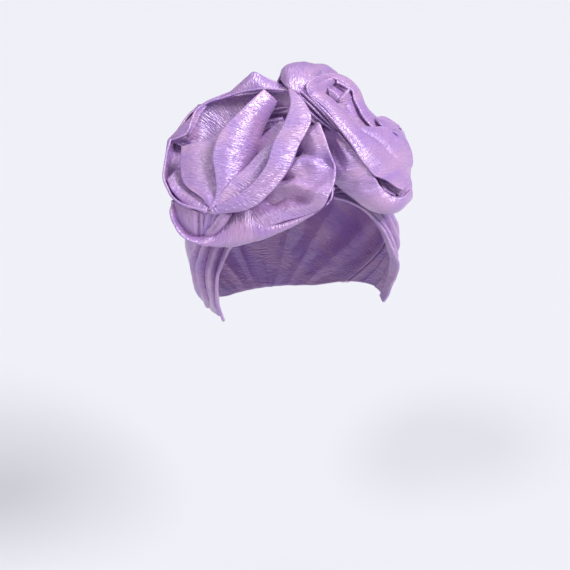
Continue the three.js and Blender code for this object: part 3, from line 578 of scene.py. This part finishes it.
        (0.21, 0.31, 0.46, -0.02, 0.30, 0.55, 0.03),
        (0.22, 0.21, 0.46, -0.04, 0.16, 0.55, 0.03),
        (0.28, 0.08, 0.45, -0.01, 0.04, 0.54, 0.02),
        (0.29, -0.03, 0.46, 0.00, -0.07, 0.55, 0.02),
    ],
}

# Creases of a fold: height along the fold's normal and half width, in mm, and the places that the crease
# runs through, in shares of the fold's run and width. A place below 0 or above 1 lies past an edge.
LEFT_CREASES = {
    "brow_petal": [
        (4.0, 6.0, [(0.12, 0.18), (0.12, 0.55), (0.12, 1.15)]),
        (-5.0, 3.5, [(0.12, -0.15), (0.18, 0.58), (0.23, 0.90), (0.28, 1.15)]),
        (7.0, 6.0, [(0.33, 0.10), (0.24, 0.28), (0.20, 0.43), (0.20, 0.60), (0.25, 0.88)]),
        (-4.0, 4.0, [(0.38, -0.15), (0.31, 0.30), (0.34, 0.62), (0.34, 1.15)]),
        (8.5, 6.0, [(0.44, -0.15), (0.38, 0.20), (0.35, 0.38), (0.36, 0.65), (0.36, 1.15)]),
        (-5.0, 4.0, [(0.62, 0.33), (0.44, 0.35), (0.41, 0.53), (0.44, 0.85)]),
        (2.6, 1.6, [
            (0.41, -0.15), (0.38, 0.20), (0.34, 0.38), (0.35, 0.55),
            (0.36, 0.70), (0.35, 0.85), (0.36, 1.15),
        ]),
        (2.4, 1.8, [(0.30, 0.15), (0.25, 0.28), (0.21, 0.40), (0.20, 0.53), (0.21, 0.68), (0.25, 0.88)]),
        (2.2, 1.8, [(0.11, 0.20), (0.12, 0.48), (0.12, 0.68), (0.14, 0.88)]),
        (-2.4, 1.6, [(0.11, -0.15), (0.15, 0.35), (0.19, 0.65), (0.21, 0.85), (0.25, 1.15)]),
        (-2.0, 1.4, [(0.39, 0.48), (0.43, 0.60)]),
    ],
    "diagonal_strip": [
        (1.4, 1.4, [(0.53, 0.43), (0.59, 0.38), (0.65, 0.60), (0.78, 0.70), (0.84, 0.70)]),
    ],
    "under_strip": [
        (-0.8, 1.8, [(0.29, 0.70), (0.53, 0.75), (0.74, 0.73)]),
    ],
    "pocket_left": [
        (-2.6, 1.8, [(0.70, 1.15), (0.76, 0.65), (0.76, 0.23)]),
        (2.6, 1.6, [(0.83, 1.15), (0.85, 0.65), (0.84, 0.20)]),
        (2.0, 2.2, [(0.54, 1.15), (0.64, 0.62), (0.65, 0.23)]),
    ],
    "pocket_tube": [
        (2.8, 1.8, [(0.29, 1.15), (0.28, 0.62), (0.19, 0.15)]),
        (-2.4, 1.5, [(0.49, 1.15), (0.44, 0.62), (0.31, 0.15)]),
    ],
    "pocket_slant": [
        (2.2, 1.5, [(0.00, 0.53), (0.39, 0.75), (0.88, 0.65)]),
    ],
    "heart_wall": [
        (-1.6, 1.3, [(0.00, 0.15), (0.50, 0.20), (0.94, 0.15)]),
    ],
    "back_petal": [
        (0.9, 2.5, [(0.19, 1.15), (0.16, 0.50)]),
        (0.9, 2.5, [(0.50, 0.85), (0.51, 0.35)]),
    ],
}
RIGHT_CREASES = {
    "lower_petal": [
        (-2.0, 2.2, [(0.03, 0.38), (0.11, 0.33), (0.26, 0.35)]),
        (1.4, 2.5, [(0.08, 0.75), (0.19, 0.68), (0.30, 0.58)]),
        (1.2, 2.0, [(0.44, 0.10), (0.51, 0.40)]),
        (1.0, 2.0, [(0.38, 0.43), (0.48, 0.70)]),
    ],
    "crown_roll": [
        (1.4, 1.6, [(0.70, 0.60), (0.76, 1.15)]),
    ],
    "long_strip": [
        (2.6, 3.0, [(0.26, 0.18), (0.35, 0.35), (0.43, 0.43), (0.54, 0.48), (0.65, 0.43)]),
        (-2.0, 3.5, [(0.33, -0.15), (0.38, -0.15), (0.44, 0.10), (0.54, 0.18), (0.60, 0.20)]),
        (-1.2, 6.0, [(0.20, 0.73), (0.31, 0.80), (0.44, 0.80), (0.68, 0.75)]),
    ],
    "mid_fold": [
        (0.8, 1.5, [(0.12, 0.50), (0.31, 0.40)]),
    ],
    "turned_petal": [
        (-1.4, 1.0, [(0.33, 0.70), (0.58, 0.62), (0.83, 0.58)]),
    ],
}


def lerp(a, b, t):
    return a + (b - a) * t


def smooth_step(a, b, x):
    t = np.clip((x - a) / (b - a), 0, 1)
    return t * t * (3 - 2 * t)


def unit(v):
    return v / np.maximum(np.linalg.norm(v, axis=-1, keepdims=True), TINY)


def noise(x, y, seed):
    """Smooth noise from -1 to 1 with one hill or dip per unit of x and y."""
    lattice = np.random.default_rng(seed).uniform(-1, 1, (LATTICE, LATTICE))
    x, y = np.broadcast_arrays(x, y)
    left, low = np.floor(x).astype(int), np.floor(y).astype(int)
    across, up = smooth_step(0, 1, x - left), smooth_step(0, 1, y - low)

    def at(i, j):
        return lattice[(left + i) % LATTICE, (low + j) % LATTICE]

    return lerp(lerp(at(0, 0), at(1, 0), across), lerp(at(0, 1), at(1, 1), across), up)


def crinkle(x, y, seed):
    """Noise with sharp crests, as in crushed cloth, from -0.9 to 0.5."""
    return 0.5 - np.abs(noise(x, y, seed)) * 2 ** 0.5


# Meshes

def grid_normals(points):
    along = np.gradient(points, axis=0)
    across = np.gradient(points, axis=1)
    return unit(np.cross(along, across))


def arc_lengths(points, axis):
    """Length along the lines of a grid up to each of its points."""
    steps = np.linalg.norm(np.diff(points, axis=axis), axis=-1)
    start = np.zeros_like(np.take(steps, [0], axis=axis))
    return np.concatenate([start, np.cumsum(steps, axis=axis)], axis=axis)


def shell(middle, half):
    """Points, faces and cloth coordinates of a closed sheet around a grid [run][width].

    half is half of its thickness. Both edges of the width are round, and both ends of the run are flat.
    """
    normal = grid_normals(middle)
    half = np.broadcast_to(half, middle.shape[:2])[..., None]
    runs, widths = middle.shape[:2]
    angles = (np.pi * np.arange(1, RIM_STEPS + 1) / (RIM_STEPS + 1))[None, :, None]

    def round_edge(edge, inward, turn):
        out = unit(middle[:, edge] - middle[:, inward])[:, None]
        up = normal[:, edge][:, None] * turn
        round_off = up * np.cos(angles) + out * np.sin(angles)
        return middle[:, edge][:, None] + half[:, edge][:, None] * round_off

    ring = np.concatenate([
        middle + normal * half,
        round_edge(-1, -2, 1),
        (middle - normal * half)[:, ::-1],
        round_edge(0, 1, -1),
    ], axis=1)
    across = arc_lengths(middle, 1)
    v = np.concatenate([
        across,
        np.repeat(across[:, [-1]], RIM_STEPS, axis=1),
        across[:, ::-1],
        np.repeat(across[:, [0]], RIM_STEPS, axis=1),
    ], axis=1)
    u = np.broadcast_to(arc_lengths(middle, 0).mean(axis=1, keepdims=True), v.shape)
    cloth = np.stack([u, v, 0 * u], axis=-1)

    count = ring.shape[1]
    index = np.arange(runs * count).reshape(runs, count)
    after = np.roll(index, -1, axis=1)
    quads = np.stack([index[:-1], index[1:], after[1:], after[:-1]], axis=-1).reshape(-1, 4)
    faces = [tuple(f) for f in quads]
    above = np.arange(widths - 1)
    below = 2 * widths + RIM_STEPS - 1 - above
    corner = widths - 1 + np.arange(RIM_STEPS + 2)
    for row in (0, runs - 1):
        end = index[row]
        cap = np.stack([end[above], end[above + 1], end[below - 1], end[below]], axis=-1)
        rims = [end[corner], end[(corner + widths + RIM_STEPS) % count]]
        faces.extend(tuple(f if row == 0 else f[::-1]) for f in [*cap, *rims])
    return ring.reshape(-1, 3), faces, cloth.reshape(-1, 3)


def piece_of(name, shells, material, nodes):
    """One object of several closed sheets."""
    points, faces, cloth = [], [], []
    base = 0
    for index, (sheet_points, sheet_faces, sheet_cloth) in enumerate(shells):
        points.append(sheet_points)
        faces.extend(tuple(int(i) + base for i in face) for face in sheet_faces)
        cloth.append(sheet_cloth + np.array([0, 0, SHEET_SPACING * index]))
        base += len(sheet_points)
    mesh = bpy.data.meshes.new(name)
    mesh.from_pydata(np.concatenate(points).tolist(), [], faces)
    mesh.polygons.foreach_set("use_smooth", np.ones(len(mesh.polygons), bool))
    attribute = mesh.attributes.new("cloth", "FLOAT_VECTOR", "POINT")
    attribute.data.foreach_set("vector", np.concatenate(cloth).astype(np.float32).ravel())
    mesh.materials.append(material)
    mesh.validate()
    obj = bpy.data.objects.new(name, mesh)
    bpy.context.scene.collection.objects.link(obj)
    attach(obj, "root")
    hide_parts(*nodes)
    return obj


# The wrap

def face_turn(side, reach):
    return np.interp(reach, FACE_EDGE[:, 0], FACE_EDGE[:, 1 if side < 0 else 2])


def hem_reach(turn):
    rise = CROWN_AXIS[2] * np.cos(np.radians(turn))
    drop = lerp(NAPE_DROP, TEMPLE_DROP, smooth_step(HEM_RISE_FROM, HEM_RISE_TO, np.abs(turn)))
    return np.arctan2(rise, NOTCH_AXIS[2]) + np.arccos(-drop / np.hypot(NOTCH_AXIS[2], rise))


def reach_at(share, turn):
    return lerp(NOTCH_REACH, hem_reach(turn), share)


def wrap_point(reach, turn, height):
    """Point of the wrap at a height above the head form, narrowed towards the neck."""
    reach, turn, height = (a[..., None] for a in np.broadcast_arrays(reach, np.radians(turn), height))
    around = CROWN_AXIS * np.cos(turn) + SIDE_AXIS * np.sin(turn)
    way = NOTCH_AXIS * np.cos(reach) + around * np.sin(reach)
    point = way / np.linalg.norm(way / (HALF_SIZES + height), axis=-1, keepdims=True) + HEAD_CENTRE
    below = np.maximum(0, -point[..., 2:] / HEAD_RISE - TAPER_START)
    point[..., :2] *= 1 - NECK_TAPER * below
    return point


def turn_of(width, reach):
    """Turn in degrees that a width takes up at a reach."""
    return np.degrees(width / (HEAD_RISE * np.sin(reach)))


def lap_turn(reach):
    return np.minimum(turn_of(LAP_WIDTH, reach), LAP_LIMIT * BAND_TURN)


def line_turn(share, side, turn_at):
    """Turn of a line from notch to hem, at each share of its length, given its turn at each reach."""
    turn = side * START_TURN + 0 * share
    for _ in range(SETTLE_ROUNDS):
        turn = side * turn_at(reach_at(share, turn))
    return turn


def fold_fade(share):
    return lerp(FOLD_ENDS, 1, np.sin(np.pi * lerp(FADE_CUT, 1 - FADE_CUT, share)) ** FADE_POWER)


def wrap_grid(runs, widths):
    share = np.linspace(0, 1, runs + 1)[:, None]
    across = np.linspace(0, 1, widths + 1)[None]
    return np.broadcast_arrays(share, across)


def relief(forms, name, share, across, seed):
    """One kind of unevenness, drawn with a seed of its own."""
    strength, along, sideways = forms[name]
    return strength * noise(share * along, across * sideways, seed + list(forms).index(name))


def pleat_rise(across):
    """Rise of knife pleats across a band from the face edge, each one lapping over the one before it."""
    pleat = np.searchsorted(PLEAT_VALLEYS[1:-1], across, side="right")
    width = PLEAT_VALLEYS[pleat + 1] - PLEAT_VALLEYS[pleat]
    part = (across - PLEAT_VALLEYS[pleat]) / width
    lip = np.sin(np.pi / 2 * np.clip(part * width / PLEAT_LIP, 0, 1)) ** PLEAT_LIP_POWER
    return np.where(pleat == 0, 1, lip) * (1 - part ** PLEAT_FALL_POWER)


def band_shell(side, seed):
    share, across = wrap_grid(*BAND_STEPS)
    fade = fold_fade(share)
    turn = line_turn(share, side, lambda reach: face_turn(side, reach) - across * BAND_TURN)
    turn = turn - side * smooth_step(LAP_FROM, 1, across) * lap_turn(reach_at(share, turn))
    sway = relief(BAND_RELIEF, "sway", share, across, seed) * smooth_step(0, CALM_EDGE, across)
    rise = PLEAT_RISE * pleat_rise(np.clip(across + sway, 0, LAST_PLEAT_END)) * fade
    rise = rise * (1 + relief(BAND_RELIEF, "swell", share, across, seed))
    rise = rise + relief(BAND_RELIEF, "crush", share, across, seed) * fade
    rise = rise + FACE_ROLL * np.exp(-(across * BAND_TURN / FACE_ROLL_TURN) ** 2)
    rise = lerp(rise, CLOTH_WALL + PIECE_GAP, smooth_step(*LAP_LIFT, across))
    middle = wrap_point(reach_at(share, turn), turn, rise + CLOTH_WALL / 2)
    from_face = arc_lengths(middle, 1)
    to_edge = np.minimum(from_face, from_face[:, -1:] - from_face)
    return shell(middle, lerp(HEM_HALF, WRAP_HALF, smooth_step(0, HEM_REACH, to_edge)))


def crown_shell(seed):
    share, across = wrap_grid(*CROWN_STEPS)

    def edge_turn(side):
        return line_turn(share, side, lambda reach: (
            face_turn(side, reach) - BAND_TURN - turn_of(PIECE_GAP, reach)
        ))

    turn = lerp(edge_turn(-1), edge_turn(1), across)
    sway = relief(CROWN_RELIEF, "sway", share, across, seed)
    wave = np.abs(np.sin(np.pi * SOFT_FOLDS * (across + sway))) ** SOFT_FOLD_POWER
    swell = relief(CROWN_RELIEF, "swell", share, across, seed)
    rise = SOFT_FOLD_RISE * wave * fold_fade(share) * (1 + swell)
    rise = rise + relief(CROWN_RELIEF, "crush", share, across, seed)
    rise = rise * smooth_step(0, CROWN_EDGE, across) * smooth_step(1, 1 - CROWN_EDGE, across)
    middle = wrap_point(reach_at(share, turn), turn, rise + CLOTH_WALL / 2)
    return shell(middle, WRAP_HALF)


# The rosettes

class Rosette:
    """A rosette's seat, its right, up and outward directions, and its radius."""

    def __init__(self, seat, turn, tilt, radius):
        self.origin = HALF_SIZES * np.array(seat) + HEAD_CENTRE
        a, e = math.radians(turn), math.radians(tilt)
        self.out = np.array([math.sin(a) * math.cos(e), -math.cos(a) * math.cos(e), math.sin(e)])
        self.right = np.array([math.cos(a), math.sin(a), 0])
        self.up = np.cross(self.out, self.right)
        self.radius = radius

    def place(self, x, y, z):
        """Point in the world at a place given in radii."""
        x, y, z = (np.asarray(a)[..., None] * self.radius for a in (x, y, z))
        return self.origin + x * self.right + y * self.up + z * self.out

    def head_height(self, x, y):
        """Height of the head form over the base plane, in radii."""
        start = (self.place(x, y, 0 * x) - HEAD_CENTRE) / HALF_SIZES
        way = self.out / HALF_SIZES
        a = way @ way
        b = start @ way
        c = (start ** 2).sum(axis=-1) - 1
        return (-b + np.sqrt(np.maximum(0, b * b - a * c))) / a / self.radius


def through(rows, t):
    """Values of a table's columns along a fold, on a smooth curve through its rows."""
    rows = np.array(rows, float)
    spans = len(rows) - 1
    rows = np.concatenate([[2 * rows[0] - rows[1]], rows, [2 * rows[-1] - rows[-2]]])
    i = np.minimum((t * spans).astype(int), spans - 1)
    f = (t * spans - i)[:, None]
    a, b, c, d = rows[i], rows[i + 1], rows[i + 2], rows[i + 3]
    bend = (2 * a - 5 * b + 4 * c - d) * f ** 2 + (3 * b - a - 3 * c + d) * f ** 3
    return 0.5 * (2 * b + (c - a) * f + bend)


def smooth_fold(rows, runs, widths):
    """A fold's surface before wrinkles, in radii, as a grid [run][root to rim]."""
    section = through(rows, np.linspace(0, 1, runs + 1))[:, None]
    v = np.linspace(0, 1, widths + 1)[None, :, None]
    if section.shape[-1] == 9:
        rim, crest, root = section[..., :3], section[..., 3:6], section[..., 6:]
        return root * (1 - v) * (1 - 2 * v) + crest * 4 * v * (1 - v) + rim * v * (2 * v - 1)
    rim, root, bow = section[..., :3], section[..., 3:6], section[..., 6:]
    across = rim - root
    run = np.gradient((rim + root)[:, 0], axis=0)[:, None]
    side = unit(np.cross(run, across))
    roundness = np.clip(2 * np.abs(bow) / np.linalg.norm(across, axis=-1, keepdims=True), 0, 1)
    x = lerp(v, (1 - np.cos(np.pi * v)) / 2, roundness)
    return root + across * x + side * bow * np.sin(np.pi * v)


def wrinkles(middle, seed):
    """How far the cloth stands off its smooth form."""
    u = arc_lengths(middle, 0).mean(axis=1, keepdims=True) + 0 * middle[..., 0]
    v = arc_lengths(middle, 1)
    width = v[:, -1:]
    outward = v / np.maximum(width, TINY)
    strength = np.clip((width - CALM_WIDTH) / (FULL_WIDTH - CALM_WIDTH), 0, 1)

    def wave(name, form=noise):
        height, along, across = WRINKLES[name]
        order = list(WRINKLES).index(name)
        return form(u / (along * MM), v / (across * MM), seed + order) * height * MM

    inner = wave("sway") + wave("crush", crinkle) + wave("gathers") * np.exp(-outward / GATHER_REACH)
    rim = wave("rim_wave") * smooth_step(RIM_WAVE_FROM, 1, outward)
    return inner * strength + rim * np.minimum(strength * 2, 1)


def crease(middle, height, spread, places):
    """Rise of a crease through places, given in shares of the run and the width."""
    run = arc_lengths(middle, 0)[-1].mean()
    width = arc_lengths(middle, 1)[:, -1].mean()
    x = np.linspace(0, run, middle.shape[0])[:, None]
    y = np.linspace(0, width, middle.shape[1])[None]
    spots = np.array(places) * (run, width)
    lengths = np.linalg.norm(np.diff(spots, axis=0), axis=1)
    starts = np.concatenate([[0], np.cumsum(lengths)])
    nearest, share = np.full(middle.shape[:2], np.inf), np.zeros(middle.shape[:2])
    for (ax, ay), (bx, by), length, start in zip(spots, spots[1:], lengths, starts):
        along = np.clip(((x - ax) * (bx - ax) + (y - ay) * (by - ay)) / length ** 2, 0, 1)
        away = np.hypot(x - lerp(ax, bx, along), y - lerp(ay, by, along))
        share = np.where(away < nearest, (start + along * length) / starts[-1], share)
        nearest = np.minimum(nearest, away)
    ends = smooth_step(0, CREASE_ENDS, share) * smooth_step(1, 1 - CREASE_ENDS, share)
    away = np.hypot(nearest / (spread * MM), CREST_ROUND) - CREST_ROUND
    return height * MM * ends * np.exp(-away)


def fold_middle(rows, rosette, seed, creases, wrinkled):
    """Middle surface of a fold with its wrinkles and creases, as a grid."""
    coarse = smooth_fold(rows, *MEASURING_STEPS) * rosette.radius
    length = arc_lengths(coarse, 0)[-1].max()
    width = arc_lengths(coarse, 1)[:, -1].max()
    runs = int(np.clip(length / STEP, *RUN_STEPS))
    widths = int(np.clip(width / STEP, *WIDTH_STEPS))
    local = smooth_fold(rows, runs, widths)
    middle = rosette.place(local[..., 0], local[..., 1], local[..., 2])
    rise = wrinkles(middle, seed) * wrinkled + sum(crease(middle, *line) for line in creases)
    return middle + grid_normals(middle) * rise[..., None]


def fold_shell(rows, rosette, seed, creases, wrinkled):
    middle = fold_middle(rows, rosette, seed, creases, wrinkled)
    from_root = arc_lengths(middle, 1)
    to_rim = from_root[:, -1:] - from_root
    rim = lerp(SATIN_HALF, RIM_HALF, smooth_step(NARROW / 2, NARROW, to_rim[:, :1]))
    half = lerp(rim, SATIN_HALF, smooth_step(0, RIM_REACH, np.minimum(to_rim, from_root)))
    return shell(middle, half)


def pad_shell(rosette):
    """The gathered core that the folds grow out of."""
    angle = np.linspace(0, 2 * np.pi, PAD_SIDES + 1)[:, None]
    ring = np.linspace(PAD_HOLE, 1, PAD_RINGS + 1)[None]
    out = ring * PAD_SPREAD * (1 + GATHER_DEPTH * np.cos(PAD_GATHERS * angle))
    x, y = out * np.cos(angle), out * np.sin(angle)
    lift = (PAD_LIFT / rosette.radius) * np.sqrt(1 - (PAD_DOME * ring) ** 2)
    creases = PAD_CREASE_RISE * np.cos(PAD_CREASES * angle) * ring
    return shell(rosette.place(x, y, rosette.head_height(x, y) + lift + creases), SATIN_HALF)


def rosette_piece(name, folds, creases, rosette, material, node, first_seed):
    shells = []
    for i, (fold, rows) in enumerate(folds.items()):
        seed = first_seed + SEEDS_PER_FOLD * i
        shells.append(fold_shell(rows, rosette, seed, creases.get(fold, ()), WRINKLED.get(fold, 1)))
    shells.append(pad_shell(rosette))
    return piece_of(name, shells, material, [node])


# Material

def satin_material():
    """Crushed satin: patches of two lilacs, uneven threads and a fine relief, with a soft gloss."""
    material = bpy.data.materials.new("satin")
    material.use_nodes = True
    tree = material.node_tree
    tree.nodes.clear()
    output = tree.nodes.new("ShaderNodeOutputMaterial")
    shader = tree.nodes.new("ShaderNodeBsdfPrincipled")
    tree.links.new(shader.outputs["BSDF"], output.inputs["Surface"])
    for socket, value in SATIN.items():
        shader.inputs[socket].default_value = value
    cloth = tree.nodes.new("ShaderNodeAttribute")
    cloth.attribute_name = "cloth"

    def texture(scale, detail):
        stretch = tree.nodes.new("ShaderNodeVectorMath")
        stretch.operation = "MULTIPLY"
        stretch.inputs[1].default_value = scale
        tree.links.new(cloth.outputs["Vector"], stretch.inputs[0])
        made = tree.nodes.new("ShaderNodeTexNoise")
        made.inputs["Scale"].default_value = 1
        made.inputs["Detail"].default_value = detail
        made.inputs["Roughness"].default_value = 0.6
        made.inputs["Distortion"].default_value = 0.3
        tree.links.new(stretch.outputs["Vector"], made.inputs["Vector"])
        return made.outputs["Fac"]

    def between(fac, stops):
        ramp = tree.nodes.new("ShaderNodeValToRGB")
        for element, (place, colour) in zip(ramp.color_ramp.elements, stops):
            element.position = place
            element.color = (*colour, 1)
        tree.links.new(fac, ramp.inputs["Fac"])
        return ramp.outputs["Color"]

    def bump(height, depth):
        made = tree.nodes.new("ShaderNodeBump")
        made.inputs["Strength"].default_value = 1
        made.inputs["Distance"].default_value = depth
        tree.links.new(height, made.inputs["Height"])
        return made

    slubs = texture(SLUBS, 2)
    crush = texture(CRUSH, 2)
    patches = texture(PATCHES, 1)
    mix = tree.nodes.new("ShaderNodeMix")
    mix.data_type = "RGBA"
    mix.blend_type = "MULTIPLY"
    mix.inputs["Factor"].default_value = 1
    tree.links.new(between(patches, [(0.35, LILAC), (0.65, MAUVE)]), mix.inputs["A"])
    tree.links.new(between(slubs, [(0.3, THREAD_SHADE), (0.7, THREAD_LIGHT)]), mix.inputs["B"])
    tree.links.new(mix.outputs["Result"], shader.inputs["Base Color"])
    fine = bump(slubs, SLUB_DEPTH)
    broad = bump(crush, CRUSH_DEPTH)
    tree.links.new(fine.outputs["Normal"], broad.inputs["Normal"])
    tree.links.new(broad.outputs["Normal"], shader.inputs["Normal"])
    return material


# Camera, floor and light

def direction(azimuth, elevation):
    a, e = math.radians(azimuth), math.radians(elevation)
    return Vector((math.sin(a) * math.cos(e), -math.cos(a) * math.cos(e), math.sin(e)))


def make_camera(scene):
    data = bpy.data.cameras.new("camera")
    data.lens = CAMERA_LENS
    data.sensor_width = SENSOR_WIDTH
    camera = bpy.data.objects.new("camera", data)
    back = direction(CAMERA_AZIMUTH, CAMERA_ELEVATION)
    camera.location = CAMERA_TARGET + back * CAMERA_DISTANCE
    camera.rotation_euler = (-back).to_track_quat("-Z", "Y").to_euler()
    scene.collection.objects.link(camera)
    scene.camera = camera


def make_floor(scene):
    sides = ((-1, -1), (1, -1), (1, 1), (-1, 1))
    corners = [(x * FLOOR_HALF, y * FLOOR_HALF, FLOOR_HEIGHT) for x, y in sides]
    mesh = bpy.data.meshes.new("floor")
    mesh.from_pydata(corners, [], [(0, 1, 2, 3)])
    floor = bpy.data.objects.new("floor", mesh)
    material = bpy.data.materials.new("floor_paint")
    material.use_nodes = True
    shader = material.node_tree.nodes["Principled BSDF"]
    shader.inputs["Base Color"].default_value = FLOOR_COLOUR
    shader.inputs["Roughness"].default_value = FLOOR_ROUGHNESS
    mesh.materials.append(material)
    scene.collection.objects.link(floor)


def make_light(scene, name, azimuth, elevation, strength, spread):
    """A soft light from far away, spread over so many degrees."""
    data = bpy.data.lights.new(name, "SUN")
    data.energy = strength
    data.angle = math.radians(spread)
    light = bpy.data.objects.new(name, data)
    light.rotation_euler = (-direction(azimuth, elevation)).to_track_quat("-Z", "Y").to_euler()
    scene.collection.objects.link(light)


def make_room(scene):
    world = bpy.data.worlds.new("studio")
    world.use_nodes = True
    background = world.node_tree.nodes["Background"]
    background.inputs["Color"].default_value = ROOM_COLOUR
    background.inputs["Strength"].default_value = ROOM_STRENGTH
    scene.world = world
    scene.view_settings.view_transform = "Standard"


# The pieces
satin = satin_material()
left = Rosette(*LEFT_SEAT)
right = Rosette(*RIGHT_SEAT)
crown = piece_of("crown_cloth", [crown_shell(11)], satin, ["crown"])
left_band = piece_of("left_band_cloth", [band_shell(-1, 21)], satin, ["left_band"])
right_band = piece_of("right_band_cloth", [band_shell(1, 31)], satin, ["right_band"])
left_rosette = rosette_piece(
    "left_rosette_cloth", LEFT_FOLDS, LEFT_CREASES, left, satin, "left_rosette", 100)
right_rosette = rosette_piece(
    "right_rosette_cloth", RIGHT_FOLDS, RIGHT_CREASES, right, satin, "right_rosette", 500)

# The room
make_camera(bpy.context.scene)
make_floor(bpy.context.scene)
for light in LIGHTS:
    make_light(bpy.context.scene, *light)
make_room(bpy.context.scene)
